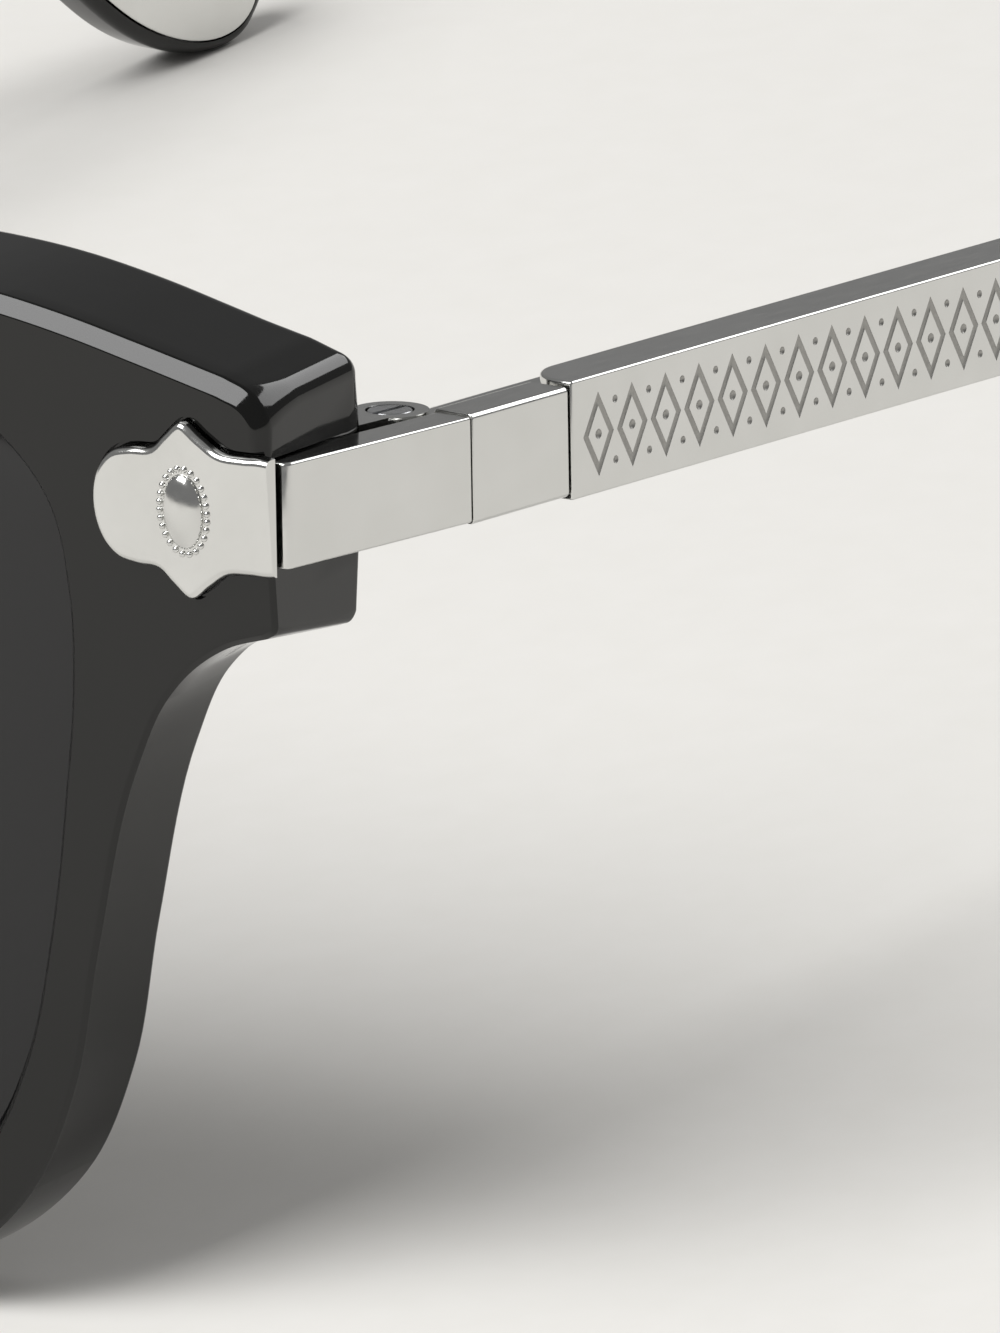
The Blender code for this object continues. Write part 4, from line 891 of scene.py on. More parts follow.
# %% Plaque outline and plate
PLAQUE_LENGTH, PLAQUE_HEIGHT = 10.6 * MM, 8.8 * MM
PLAQUE_PROUD, PLAQUE_SUNK, PLAQUE_EDGE = 0.7 * MM, 0.2 * MM, 0.35 * MM
PRONG_RADIUS, PRONG_LENGTH, PRONG_START, PRONG_PLACES = 0.45 * MM, 2.2 * MM, 0.1 * MM, (0.28, 0.76)
END_FADE = 0.9 * MM      # the rolled edge dies out towards the outer end, over this length
PLAQUE_SHAPE = (
    (0.000, 0.560), (0.022, 0.645), (0.060, 0.665), (0.180, 0.665), (0.300, 0.690), (0.400, 0.840),
    (0.500, 1.000), (0.590, 0.840), (0.660, 0.690), (0.780, 0.660), (0.880, 0.600), (0.950, 0.440),
    (0.990, 0.210),
)


def plaque_ring(wider, depth):
    """Outline of a plaque, grown by a margin, at a depth."""
    upper = [(LUG_EDGE_ALONG - a * PLAQUE_LENGTH, b * PLAQUE_HEIGHT / 2) for a, b in PLAQUE_SHAPE]
    lower = [(along, -up) for along, up in reversed(upper)]
    curve = through(upper + [(LUG_EDGE_ALONG - PLAQUE_LENGTH, 0)] + lower, 6)
    ring = []
    for start, point in zip(curve, offset(curve, wider)):
        at_end = max(0.0, 1 - (LUG_EDGE_ALONG - start[0]) / END_FADE)
        ring.append(Vector((point.x - wider * at_end, depth, point.y)))
    return ring


def prongs(name, grow):
    """The two prongs of a plaque, or the holes for them."""
    starts = [(LUG_EDGE_ALONG - PLAQUE_LENGTH * share, PRONG_START, 0) for share in PRONG_PLACES]
    return [rod(name, PRONG_RADIUS + grow, start, PRONG_LENGTH + grow, "Y", 24) for start in starts]


shoulder = [(0.0, PLAQUE_SUNK), (0.0, PLAQUE_EDGE - PLAQUE_PROUD)]
shoulder += [
    (PLAQUE_EDGE * (math.cos(angle) - 1), PLAQUE_EDGE * (1 - math.sin(angle)) - PLAQUE_PROUD)
    for angle in [math.pi / 2 * step / 6 for step in range(1, 7)]
]
plaque = stack("plaque", [plaque_ring(wider, depth) for wider, depth in shoulder])
weld(plaque, prongs("prong", 0))
print("plaque stands", round(PLAQUE_PROUD / MM, 2), "mm proud")

# %% [markdown]
# The dome is a sphere pressed flat. The beads are one small ball, copied along an oval round it.

# %% Dome and beads
DOME = (1.12 * MM, 0.52 * MM, 1.86 * MM)
BEAD_OVAL = (1.34 * MM, 2.12 * MM)
BEAD_RADIUS = 0.17 * MM
BEADS = 26
EVEN_OUT = 0.11      # evens the gaps round the ends of the oval
plaque_middle = LUG_EDGE_ALONG - PLAQUE_LENGTH / 2
face = -PLAQUE_PROUD

bpy.ops.mesh.primitive_uv_sphere_add(
    segments=48, ring_count=24, radius=1, location=(plaque_middle, face, 0), scale=DOME
)
weld(plaque, [named("dome")])
bpy.ops.mesh.primitive_uv_sphere_add(segments=12, ring_count=8, radius=BEAD_RADIUS)
ball, beads = named("bead"), []
for number in range(BEADS):
    angle = 2 * math.pi * number / BEADS
    angle -= EVEN_OUT * math.sin(2 * angle)
    spot = (plaque_middle + BEAD_OVAL[0] * math.cos(angle), face, BEAD_OVAL[1] * math.sin(angle))
    beads.append(copied(ball, spot))
bpy.data.objects.remove(ball)
weld(plaque, [joined(beads)])
bend(plaque)
print("plaque with", BEADS, "beads:", len(plaque.data.polygons), "faces")

# %% [markdown]
# ## Pockets in the front
#
# The plaque sits in a shallow recess, and the plate of the hinge in a pocket behind. Both are milled while
# the blank is flat. A turned tool with two radii bores the holes for the hinge screws.

# %% Hinge sizes and turned shapes
LUG_HEIGHT, LUG_THICKNESS = 5.2 * MM, 2.1 * MM
LUG_FRONT, LUG_BACK, LUG_EDGE = 0.3 * MM, 13.35 * MM, 0.3 * MM
PEG_RADIUS, PEG_LENGTH, PEG_BACK, PEG_SPACING = 0.6 * MM, 1.6 * MM, 2.3 * MM, 2.8 * MM
EYE_RADIUS, HINGE_HEIGHT, MIDDLE_EYE = 1.9 * MM, 5.2 * MM, 1.7 * MM
NECK_WIDTH, EYE_NECK, RUN = 2.4 * MM, 1.6 * MM, 0.12 * MM
PLATE_LENGTH, PLATE_HEIGHT, PLATE_THICKNESS = 6.6 * MM, 5.6 * MM, 1.0 * MM
PLATE_DEPTH = BROW_DEPTH - 0.3 * MM
PIN_RADIUS, PIN_HEAD_RADIUS, PIN_HEAD, HEAD_EDGE = 0.6 * MM, 1.1 * MM, 0.5 * MM, 0.1 * MM
SLOT_WIDTH, SLOT_DEPTH = 0.35 * MM, 0.25 * MM
SCREW_SPACING, SCREW_LENGTH = 2.8 * MM, 3.6 * MM
SCREW_RADIUS, SCREW_HEAD_RADIUS, SCREW_HEAD = 0.5 * MM, 0.9 * MM, 0.45 * MM
pivot = Vector((HALF_WIDTH - PIVOT_IN, PIVOT_BACK, 0))
plate_outer = FRONT_RADIUS * math.asin((pivot.x + NECK_WIDTH / 2 + FIT) / (FRONT_RADIUS - PLATE_DEPTH))
plate_inner = plate_outer - PLATE_LENGTH
plate_up = -math.tan(FRONT_TILT) * (
    FRONT_RADIUS - (FRONT_RADIUS - PLATE_DEPTH) * math.cos(plate_outer / FRONT_RADIUS) - FRONT_SAG
)


def turned(name, steps, centre, axis="Z", sides=64):
    """A turned shape from (radius, place along the axis) steps."""
    order = {"X": (2, 0, 1), "Y": (0, 2, 1), "Z": (0, 1, 2)}[axis]
    rings = []
    for radius, height in steps:
        turns = [2 * math.pi * step / sides for step in range(sides)]
        flat = [(radius * math.cos(turn), radius * math.sin(turn), height) for turn in turns]
        rings.append([Vector(centre) + Vector([point[index] for index in order]) for point in flat])
    return stack(name, rings)


def countersunk(length=SCREW_LENGTH):
    """Steps of the hole for a countersunk screw, from above its face inward."""
    head, shaft = SCREW_HEAD_RADIUS + FIT, SCREW_RADIUS + FIT
    return [(head, -MM), (head, 0), (shaft, SCREW_HEAD + FIT), (shaft, length + FIT)]


def plate_bar(name, grow, back):
    """The hinge plate, drawn flat, or with a larger size and depth the pocket for it."""
    half = PLATE_HEIGHT / 2 + grow
    start = PLATE_DEPTH - PLATE_THICKNESS - grow
    low, high = (plate_inner - grow, start, plate_up - half), (plate_outer + grow, back, plate_up + half)
    return bar(name, low, high)


def plate_drills():
    """Cutters for the two screws of a hinge plate, going forward from its back."""
    steps = [(radius, -depth) for radius, depth in countersunk()]
    along = plate_inner + SCREW_HEAD_RADIUS * 2
    return [
        turned("drill", steps, (along, PLATE_DEPTH, plate_up + side * SCREW_SPACING / 2), "Y", 32)
        for side in (1, -1)
    ]


# %% [markdown]
# All the cutters for one end piece are welded into one tool, and its twin cuts the other end piece.

# %% Milling the pockets
RECESS_MARGIN, RECESS_START = 1.5 * FIT, -1.7 * MM      # the cutter starts well in front of the face
recess = [plaque_ring(RECESS_MARGIN, depth) for depth in (RECESS_START, PLAQUE_SUNK + FIT)]
pockets = stack("pockets", recess)
weld(pockets, prongs("prong_hole", FIT) + [plate_bar("plate_pocket", FIT, BROW_DEPTH + 2 * MM)])
weld(pockets, plate_drills())
cut_both(front, pockets)
print("with its pockets:", len(front.data.polygons), "faces")

# %% [markdown]
# Before a flat face can bend, it needs cuts across. The blank is bisected every two millimetres.

# %% Bend and tilt
STRIP, STRIP_SHIFT = 2.0 * MM, 0.13 * MM      # the shift keeps the cuts off points of the outline
strips = int(SIDE / STRIP)
cut_across(front, across, [number * STRIP + STRIP_SHIFT for number in range(-strips, strips + 1)])
bend(front)
print("after bending:", len(front.data.polygons), "faces")

# %% [markdown]
# The side lugs are let into the sides of the end pieces, square to the pair and not to the bend, so their
# slots are cut last.

# %% Slots for the side lugs
def lug_bar(name, grow, start, end):
    """The bar of a side lug, or with a larger size the slot for it."""
    half = LUG_HEIGHT / 2 + grow
    return bar(name, (HALF_WIDTH - LUG_THICKNESS - grow, start, -half), (HALF_WIDTH, end, half))


def lug_pegs(name, grow):
    """The two pegs behind a side lug, or the holes for them."""
    inside = HALF_WIDTH - LUG_THICKNESS * 0.75
    starts = [(inside, LUG_FRONT + PEG_BACK, side * PEG_SPACING / 2) for side in (1, -1)]
    length = -PEG_LENGTH - LUG_THICKNESS / 4 - grow
    return [rod(name, PEG_RADIUS + grow, start, length, "X", 24) for start in starts]


slot_tool = lug_bar("slot_tool", FIT, -3 * MM, BROW_DEPTH + 3 * MM)
weld(slot_tool, lug_pegs("peg_hole", FIT))
cut_both(front, slot_tool)
front.data.materials.clear()
front.data.materials.append(acetate)
front.data.transform(WORN)
front.name = front.data.name = "front_frame_dressed"
polish(front, 35)
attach(front, "front")
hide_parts("front_frame")
print("front:", len(front.data.polygons), "faces")

# %% [markdown]
# ## Lenses
#
# A lens is a thin shell that swells forward a little. Its edge is ground to a ridge that snaps into the
# groove, and a narrow bevel is ground along both faces so that no sharp corner shows beside the rim.

# %% Lenses
lens_centre = Vector((LENS_INNER + LENS_WIDTH / 2, LENS_TOP - LENS_HEIGHT / 2))
lens_edge = offset(opening, FIT)
lens_ridge = offset(opening, 2 * FIT - GROOVE_DEPTH)
LENS_BEVEL, BEVEL_DROP, RIDGE_HALF = 0.3 * MM, 0.12 * MM, 0.2 * MM


def lens_ring(share, face_side, extra=0.0):
    """A ring on a lens face: share 1 is its edge, and face_side is -1 in front and 1 behind."""
    depth = groove + face_side * LENS_THICKNESS / 2 - LENS_CROWN * (1 - share**2) + extra
    flat = [lens_centre + (point - lens_centre) * share for point in lens_edge]
    return [Vector((point.x, depth, point.y)) for point in flat]


shares = (0.03, 0.12, 0.22, 0.32, 0.42, 0.52, 0.62, 0.72, 0.82, 0.92, 1 - LENS_BEVEL / (LENS_WIDTH / 2))
rings = [lens_ring(share, -1) for share in shares] + [lens_ring(1.0, -1, BEVEL_DROP)]
rings += [
    [Vector((point.x, groove + shift, point.y)) for point in lens_ridge]
    for shift in (-RIDGE_HALF, RIDGE_HALF)
]
rings += [lens_ring(1.0, 1, -BEVEL_DROP)] + [lens_ring(share, 1) for share in reversed(shares)]
lens = bend(stack("lens", rings))
place_pair(lens, "lens", WORN, "front", "dark_lens", 20)

# %% [markdown]
# ## Nose pads
#
# The pads are two fins of the same acetate, glued behind the rims beside the nose. Each is a row of arcs that
# grow and shrink like an almond.

# %% Nose pads
PAD_TOP, PAD_BOTTOM = -10.6 * MM, -26.2 * MM
PAD_REACH, PAD_WIDTH, PAD_SPLAY = 4.2 * MM, 3.2 * MM, 0.55
PAD_ROWS, PAD_STEPS = 32, 28
PAD_NARROW, LEAST_SWELL = 0.45, 0.02      # share of the width left at both ends, which stay open a little
beside = sorted(lens_points[NOSE_SIDE], key=lambda point: point.y)
rings = []
for row in range(PAD_ROWS + 1):
    up = PAD_TOP + (PAD_BOTTOM - PAD_TOP) * (0.5 - 0.5 * math.cos(math.pi * row / PAD_ROWS))
    swell = math.sqrt(max(1 - (2 * (up - PAD_BOTTOM) / (PAD_TOP - PAD_BOTTOM) - 1) ** 2, LEAST_SWELL))
    below = [point for point in beside if point.y <= up][-1]
    above = [point for point in beside if point.y > up][0]
    rim_middle = below.lerp(above, (up - below.y) / (above.y - below.y)).x - NOSE_RIM_WIDTH / 2
    ring = []
    for step in range(PAD_STEPS + 1):
        angle = math.pi * step / PAD_STEPS
        reach = PAD_REACH * swell * math.sin(angle)
        width = PAD_WIDTH / 2 * (PAD_NARROW + (1 - PAD_NARROW) * swell) * math.cos(angle)
        ring.append(Vector((rim_middle + width + PAD_SPLAY * reach, RIM_DEPTH + FIT + reach, up)))
    rings.append(ring)
place_pair(bend(stack("nose_pad", rings)), "nose_pad", WORN, "front", "black_acetate", 50)

# %% [markdown]
# ## Side lugs
#
# The lug is a short bar of plated metal with two pegs that anchor it. Its long edges are rolled over, and the
# upper one draws the bright line in the picture. The back of the plaque is milled away at its outer end, so
# that it laps over the front of the lug.

# %% Plaque and side lug
LUG_LAP, LAP_GAP, LAP_SHORT, NOSE_ROUND = 0.12 * MM, 0.40 * MM, 0.32 * MM, 0.45 * MM
LUG_END, LUG_END_ROUND = LUG_BACK + 0.04 * MM, 0.1 * MM
lap_half = LUG_HEIGHT / 2 + MM
laps = {
    "lap": (HALF_WIDTH - LUG_THICKNESS - FIT, LUG_LAP - LAP_GAP, -lap_half),
    "lap_end": (HALF_WIDTH - LAP_SHORT, -2 * MM, -lap_half),
}
for name, corner in laps.items():
    combine(plaque, bar(name, corner, (HALF_WIDTH + MM, LUG_FRONT + MM, lap_half)))
place_pair(plaque, "plaque", WORN, "front", "polished_steel")
lug = lug_bar("side_lug", 0, LUG_LAP, LUG_END)
round_edges(lug, NOSE_ROUND, 8, edges_at(x=HALF_WIDTH, y=LUG_LAP))
past_nose = HALF_WIDTH - NOSE_ROUND - MM / 20
round_edges(lug, LUG_EDGE, 6, lambda start, end: agree(start.z, end.z) and (
    abs(end.y - start.y) > 5 * MM or min(start.x, end.x) > past_nose and max(start.y, end.y) < LUG_LAP + MM
))
round_edges(lug, LUG_END_ROUND, 3, edges_at(y=LUG_END))
weld(lug, lug_pegs("peg", 0))
place_pair(lug, "side_lug", WORN, "front", "polished_steel")

# %% [markdown]
# ## Hinge
#
# The hinge has three eyes on one pin. Two belong to a leaf with a plate that is screwed to the acetate, and
# the middle one belongs to the temple. The leaf is a rod and a bar welded together, slit for the middle eye
# and drilled for the pin.

# %% Hinge leaf
PLATE_ROUND, LEAF_EDGE = 0.7 * MM, 0.12 * MM
half = HINGE_HEIGHT / 2
plate_middle = on_front(plate_outer, plate_up, PLATE_DEPTH - PLATE_THICKNESS / 2)
neck_low = (pivot.x - NECK_WIDTH / 2, plate_middle.y, -half)
leaf_plate = plate_bar("leaf_plate", 0, PLATE_DEPTH)
round_edges(leaf_plate, PLATE_ROUND, 6, lambda start, end: abs(end.y - start.y) > PLATE_THICKNESS / 2)
leaf = rod("front_hinge", EYE_RADIUS, pivot - Vector((0, 0, half)), HINGE_HEIGHT)
weld(leaf, [bar("neck", neck_low, (pivot.x + NECK_WIDTH / 2, pivot.y, half)), bend(leaf_plate)])
reach = EYE_RADIUS + RUN
slit = Vector((reach + MM, reach, MIDDLE_EYE / 2 + RUN))
combine(leaf, bar("slit", pivot - slit, pivot + slit))
soften(leaf, LEAF_EDGE, 3)
shaft, head, shelf = PIN_RADIUS + FIT, PIN_HEAD_RADIUS + FIT, half - PIN_HEAD - FIT
pin_hole = [(shaft, -half - MM), (shaft, shelf), (head, shelf), (head, half + MM)]
combine(leaf, turned("pin_hole", pin_hole, pivot))
for drill in plate_drills():
    combine(leaf, bend(drill))
place_pair(leaf, "front_hinge", WORN, "front", "polished_steel")

# %% [markdown]
# The pin is a slotted screw. Its head lies in the top of the upper eye and just shows in the picture.

# %% Hinge screw
PIN_TAPER, PIN_SHORT = 0.1 * MM, 0.2 * MM      # the foot is tapered and ends inside the lower eye
pin_foot = PIN_SHORT - half
pin_steps = [
    (PIN_RADIUS - PIN_TAPER, pin_foot), (PIN_RADIUS, pin_foot + PIN_TAPER), (PIN_RADIUS, half - PIN_HEAD),
    (PIN_HEAD_RADIUS, half - PIN_HEAD), (PIN_HEAD_RADIUS, half - HEAD_EDGE),
]
pin_steps += [
    (PIN_HEAD_RADIUS - HEAD_EDGE * (1 - math.cos(angle)), half - HEAD_EDGE * (1 - math.sin(angle)))
    for angle in (0.5, 1.05, math.pi / 2)
]
hinge_screw = turned("hinge_screw", pin_steps, pivot)
cut = Vector((SLOT_WIDTH / 2, PIN_HEAD_RADIUS + MM, SLOT_DEPTH))
top = pivot + Vector((0, 0, half))
combine(hinge_screw, bar("screw_slot", top - cut, top + cut))
place_pair(hinge_screw, "hinge_screw", WORN, "front", "screw_steel")

# %% [markdown]
# ## Spring hinge
#
# The middle eye carries a long pin that slides in a housing on the temple, against a spring. The pieces from
# here on are drawn in the temple's frame, where Y counts back from the hinge axis.

# %% Middle eye with its sliding pin
HOUSING_FRONT, HOUSING_LENGTH, HOUSING_WIDTH = 2.1 * MM, 12.8 * MM, 3.1 * MM
HOUSING_HEIGHT, HOUSING_ROUND = 3.4 * MM, 1.0 * MM
FOOT_LENGTH, FOOT_THICKNESS = 4.0 * MM, 0.9 * MM
BORE_RADIUS, BORE_OFFSET, ROD_RADIUS = 1.1 * MM, 0.5 * MM, 0.45 * MM
SPRING_LENGTH = 6.2 * MM
BUSH_LENGTH, NUT_LENGTH = 2.3 * MM, 1.0 * MM
EYE_EDGE = 0.1 * MM
spring_front = HOUSING_FRONT + FIT + BUSH_LENGTH + RUN
rod_end = spring_front + SPRING_LENGTH + RUN + NUT_LENGTH
half_eye = MIDDLE_EYE / 2

eye = rod("spring_eye", EYE_RADIUS, (0, 0, -half_eye), MIDDLE_EYE)
neck_low = (-BORE_OFFSET - EYE_NECK / 2, 0, -half_eye)
weld(eye, [bar("eye_neck", neck_low, (-BORE_OFFSET + EYE_NECK / 2, HOUSING_FRONT - RUN, half_eye))])
combine(eye, rod("eye_hole", PIN_RADIUS + RUN, (0, 0, -half_eye - MM), MIDDLE_EYE + 2 * MM))
soften(eye, EYE_EDGE, 3)
start = HOUSING_FRONT - 2 * RUN - ROD_RADIUS
weld(eye, [rod("slider", ROD_RADIUS, (-BORE_OFFSET, start, 0), rod_end - start, "Y", 32)])
place_pair(eye, "spring_eye", TEMPLE, "left_eye", "polished_steel")

# %% [markdown]
# A coil of music wire sits round the pin, between the bush and the nut. Pulling the temple back drags the
# bush towards the nut, which shortens a real coil; this one is drawn at its rest length and moves with the
# temple.

# %% Hinge spring
SPRING_TURNS, SPRING_TRAVEL, WIRE_RADIUS = 6.5, 1.5 * MM, 0.16 * MM
PER_TURN, WIRE_SIDES = 24, 10
coil_radius = BORE_RADIUS - WIRE_RADIUS - RUN
pitch = (SPRING_LENGTH - 2 * WIRE_RADIUS) / SPRING_TURNS
angles = [2 * math.pi * side / WIRE_SIDES for side in range(WIRE_SIDES)]
rings = []
for step in range(int(SPRING_TURNS * PER_TURN) + 1):
    turn = 2 * math.pi * step / PER_TURN
    outward = Vector((math.cos(turn), 0, math.sin(turn)))
    start = Vector((-BORE_OFFSET, spring_front + WIRE_RADIUS + pitch * step / PER_TURN, 0))
    centre = start + outward * coil_radius
    rings.append([
        centre + (outward * math.cos(angle) + Vector((0, math.sin(angle), 0))) * WIRE_RADIUS
        for angle in angles
    ])
place_pair(stack("hinge_spring", rings), "hinge_spring", TEMPLE, "left_temple", "screw_steel", 60)
for side in ("left", "right"):
    coil = bpy.data.objects[f"hinge_spring_{side}_dressed"]
    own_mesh(coil)

# %% [markdown]
# The housing is a box with rolled inner edges, bored for the spring. It clears the cover with a small step,
# and its foot is screwed to the tongue of the block.

# %% Spring housing
TEMPLE_OUTER = PIVOT_IN + FIT
BLOCK_THICKNESS, BLOCK_HEIGHT, BLOCK_BACK = 2.5 * MM, 5.45 * MM, 8.35 * MM
COVER_THICKNESS, COVER_HEIGHT, COVER_WALL = 3.2 * MM, 5.87 * MM, 0.7 * MM
BORE_SPARE, COVER_STEP, HOUSING_NOSE = 0.4 * MM, 0.15 * MM, 0.45 * MM
FOOT_ROUND, FOOT_HOLE, SMALL_EDGE = 0.8 * MM, 0.55, 0.09 * MM
block_side = TEMPLE_OUTER - BLOCK_THICKNESS - FIT
cover_side = TEMPLE_OUTER - COVER_THICKNESS - FIT
housing_back = HOUSING_FRONT + HOUSING_LENGTH
foot_back = housing_back + FOOT_LENGTH
foot_side = cover_side - FOOT_THICKNESS
half = HOUSING_HEIGHT / 2
inner_side = cover_side - HOUSING_WIDTH
low_half = half - 2 * FIT
housing = bar("spring_housing", (inner_side, HOUSING_FRONT, -half), (block_side, housing_back, half))
step_low = (cover_side, BLOCK_BACK - COVER_STEP, -half - MM)
combine(housing, bar("step", step_low, (block_side + MM, housing_back + MM, half + MM)))
round_edges(housing, HOUSING_ROUND, 8, lambda start, end: (
    agree(start.x, end.x, inner_side) and abs(end.y - start.y) > HOUSING_LENGTH / 2
))
round_edges(housing, HOUSING_NOSE, 5, edges_at(y=HOUSING_FRONT))
foot = bar("foot", (foot_side, housing_back - 2 * MM, -low_half), (cover_side, foot_back, low_half))
round_edges(foot, FOOT_ROUND, 6, lambda start, end: (
    agree(start.y, end.y, foot_back) and agree(start.z, end.z)
))
weld(housing, [foot])
soften(housing, SMALL_EDGE, 2, 50)
bore_start = HOUSING_FRONT - MM
bore_length = rod_end + BORE_SPARE - bore_start
combine(housing, rod("bore", BORE_RADIUS, (-BORE_OFFSET, bore_start, 0), bore_length, "Y"))
screw_spot = Vector((foot_side, housing_back + FOOT_HOLE * FOOT_LENGTH, 0))
screw_length = TEMPLE_OUTER - COVER_WALL - 3 * FIT - foot_side
combine(housing, turned("foot_hole", countersunk(screw_length), screw_spot, "X", 32))
place_pair(housing, "spring_housing", TEMPLE, "left_temple", "polished_steel")

# %% [markdown]
# ## Temple block
#
# Behind the seam comes a short block, as tall as the lug but a hair prouder. Its front end is square to the
# lug, and the temple starts to run inward behind it. A tongue goes on into the cover.

# %% Temple block
CONVERGE = math.asin(-along_temple.x)
SEAM_GAP = 0.1 * MM
TONGUE_THICKNESS, TONGUE_HEIGHT, TONGUE_BACK = 0.95 * MM, 3.6 * MM, 19.5 * MM
seam = LUG_BACK + SEAM_GAP - PIVOT_BACK
half = BLOCK_HEIGHT / 2
block_inner = TEMPLE_OUTER - BLOCK_THICKNESS
block = bar("temple_block", (block_inner, seam, -half), (TEMPLE_OUTER, BLOCK_BACK, half))
for vertex in block.data.vertices:
    if vertex.co.y < BLOCK_BACK / 2:
        vertex.co.y = (seam - vertex.co.x * math.sin(CONVERGE)) / math.cos(CONVERGE)
round_edges(block, LUG_EDGE, 6, lambda start, end: abs(end.y - start.y) > BLOCK_BACK / 2)
soften(block, SMALL_EDGE, 3, 50)
tongue_outer = TEMPLE_OUTER - COVER_WALL - FIT
tongue_inner = tongue_outer - TONGUE_THICKNESS
tall = TONGUE_HEIGHT / 2
weld(block, [bar("tongue", (tongue_inner, BLOCK_BACK - MM, -tall), (tongue_outer, TONGUE_BACK, tall))])
combine(block, turned("tongue_hole", countersunk(screw_length), screw_spot, "X", 32))
place_pair(block, "temple_block", TEMPLE, "left_temple", "polished_steel")
print("temple runs", round(math.degrees(CONVERGE), 2), "degrees inward")

# %% [markdown]
# ## Temple cover
#
# The tall part of the temple is a channel of plated metal, open towards the head, where a black liner fills
# it. Its inner front corner is rounded so that it does not catch when the temple folds.

# %% Cover
COVER_GAP, COVER_NOSE, COVER_BACK = 0.25 * MM, 3.0 * MM, 99.0 * MM
COVER_EDGE, COVER_FRONT_EDGE = 0.33 * MM, 0.15 * MM
cover_start = BLOCK_BACK + COVER_GAP
cover_inner = TEMPLE_OUTER - COVER_THICKNESS
half = COVER_HEIGHT / 2
cover = bar("temple_cover", (cover_inner, cover_start, -half), (TEMPLE_OUTER, COVER_BACK, half))
cover.data.materials.append(plating)
round_edges(cover, COVER_THICKNESS - COVER_WALL, 14, edges_at(x=cover_inner, y=cover_start))
round_edges(cover, COVER_FRONT_EDGE, 3, edges_at(x=TEMPLE_OUTER, y=cover_start))
round_edges(cover, COVER_EDGE, 6, lambda start, end: (
    agree(start.z, end.z) and agree(abs(start.z), half) and not agree(start.y, end.y, COVER_BACK)
))
inside, channel_start = half - COVER_WALL, cover_start + COVER_NOSE
low = (cover_inner - MM, channel_start, -inside)
combine(cover, bar("channel", low, (TEMPLE_OUTER - COVER_WALL, COVER_BACK + MM, inside)))
low = (tongue_inner - FIT, cover_start - MM, -tall - FIT)
combine(cover, bar("tongue_slot", low, (tongue_outer + FIT, channel_start + MM, tall + FIT)))
print("cover:", len(cover.data.polygons), "faces")

# %% [markdown]
# ### Engraved band
#
# A band of plain lozenges with dots runs along the outer face. The lozenge cutter is a ring with four sides,
# pulled into shape, and the dot cutters are small balls of two sizes. All are copied along the band and
# pressed about a tenth of a millimetre into the metal in one cut. The cut faces take the matt finish of the
# tool.

# %% Band of lozenges
LOZENGE_PITCH, LOZENGES, BAND_MARGIN = 2.65 * MM, 33, 0.75 * MM
HALF_LONG, HALF_HIGH, HALF_THICK, LINE_SHARE = 1.0 * MM, 1.75 * MM, 0.5 * MM, 0.22      # one lozenge cutter
LOZENGE_LIFT, DOT_ROW = 0.03 * MM, 1.5 * MM
DOTS = ((0.36 * MM, 0.25 * MM), (0.26 * MM, 0.16 * MM))      # radius, and lift from the face

bpy.ops.mesh.primitive_torus_add(
    major_segments=4, minor_segments=10, major_radius=1, minor_radius=LINE_SHARE,
    location=(TEMPLE_OUTER + LOZENGE_LIFT, 0, 0), rotation=(0, math.pi / 2, 0),
)
bpy.context.object.scale = (HALF_HIGH, HALF_LONG, HALF_THICK)
models = [named("lozenge")]
for radius, lift in DOTS:
    bpy.ops.mesh.primitive_uv_sphere_add(
        segments=16, ring_count=8, radius=radius, location=(TEMPLE_OUTER + lift, 0, 0)
    )
    models.append(named("dot"))
lozenge, big_dot, small_dot = models
cutters = []
for number in range(LOZENGES):
    middle = cover_start + BAND_MARGIN + LOZENGE_PITCH * (number + 0.5)
    cutters += [copied(lozenge, (0, middle, 0)), copied(big_dot, (0, middle, 0))]
    if number:
        cutters += [
            copied(small_dot, (0, middle - LOZENGE_PITCH / 2, up)) for up in (DOT_ROW, -DOT_ROW)
        ]
for model in models:
    bpy.data.objects.remove(model)
band = joined(cutters)
band.data.materials.append(engraved)
combine(cover, band)
place_pair(cover, "temple_cover", TEMPLE, "left_temple", "polished_steel")

# %% [markdown]
# ## Ear tips
#
# The temple ends in a tip of black acetate that turns down behind the ear and grows to a round paddle. Its
# inner face is flat and carries a polished inlay. The sections of the tip are rounded rectangles, set square
# to the path.

# %% Path and sections of a tip
TIP_BEND_RADIUS, TIP_BEND, TIP_STRAIGHT = 43.0 * MM, math.radians(36), 3.5 * MM
TIP_END_LENGTH, TIP_END_HALF, TIP_WAIST = 9.5 * MM, 5.5 * MM, 2.7 * MM
TIP_END_THICKNESS, TIP_ROUND = 3.6 * MM, 0.95 * MM
WAIST_END, SWELL_START = 1 / 3, 0.3      # shares of the way from the cover to the round end
TIP_BEND_LENGTH = TIP_BEND_RADIUS * TIP_BEND
TIP_END = COVER_BACK + TIP_BEND_LENGTH + TIP_STRAIGHT
tip_face = TEMPLE_OUTER - COVER_THICKNESS


def on_path(run):
    """Point and upward normal, as (Y, Z), of a temple's middle line at a length from the hinge."""
    past_cover = run - COVER_BACK
    turn = min(max(past_cover, 0), TIP_BEND_LENGTH) / TIP_BEND_RADIUS
    point = Vector((
        COVER_BACK + TIP_BEND_RADIUS * math.sin(turn) + min(past_cover, 0),
        TIP_BEND_RADIUS * (math.cos(turn) - 1),
    ))
    point += Vector((math.cos(turn), -math.sin(turn))) * max(past_cover - TIP_BEND_LENGTH, 0)
    return point, Vector((math.sin(turn), math.cos(turn)))


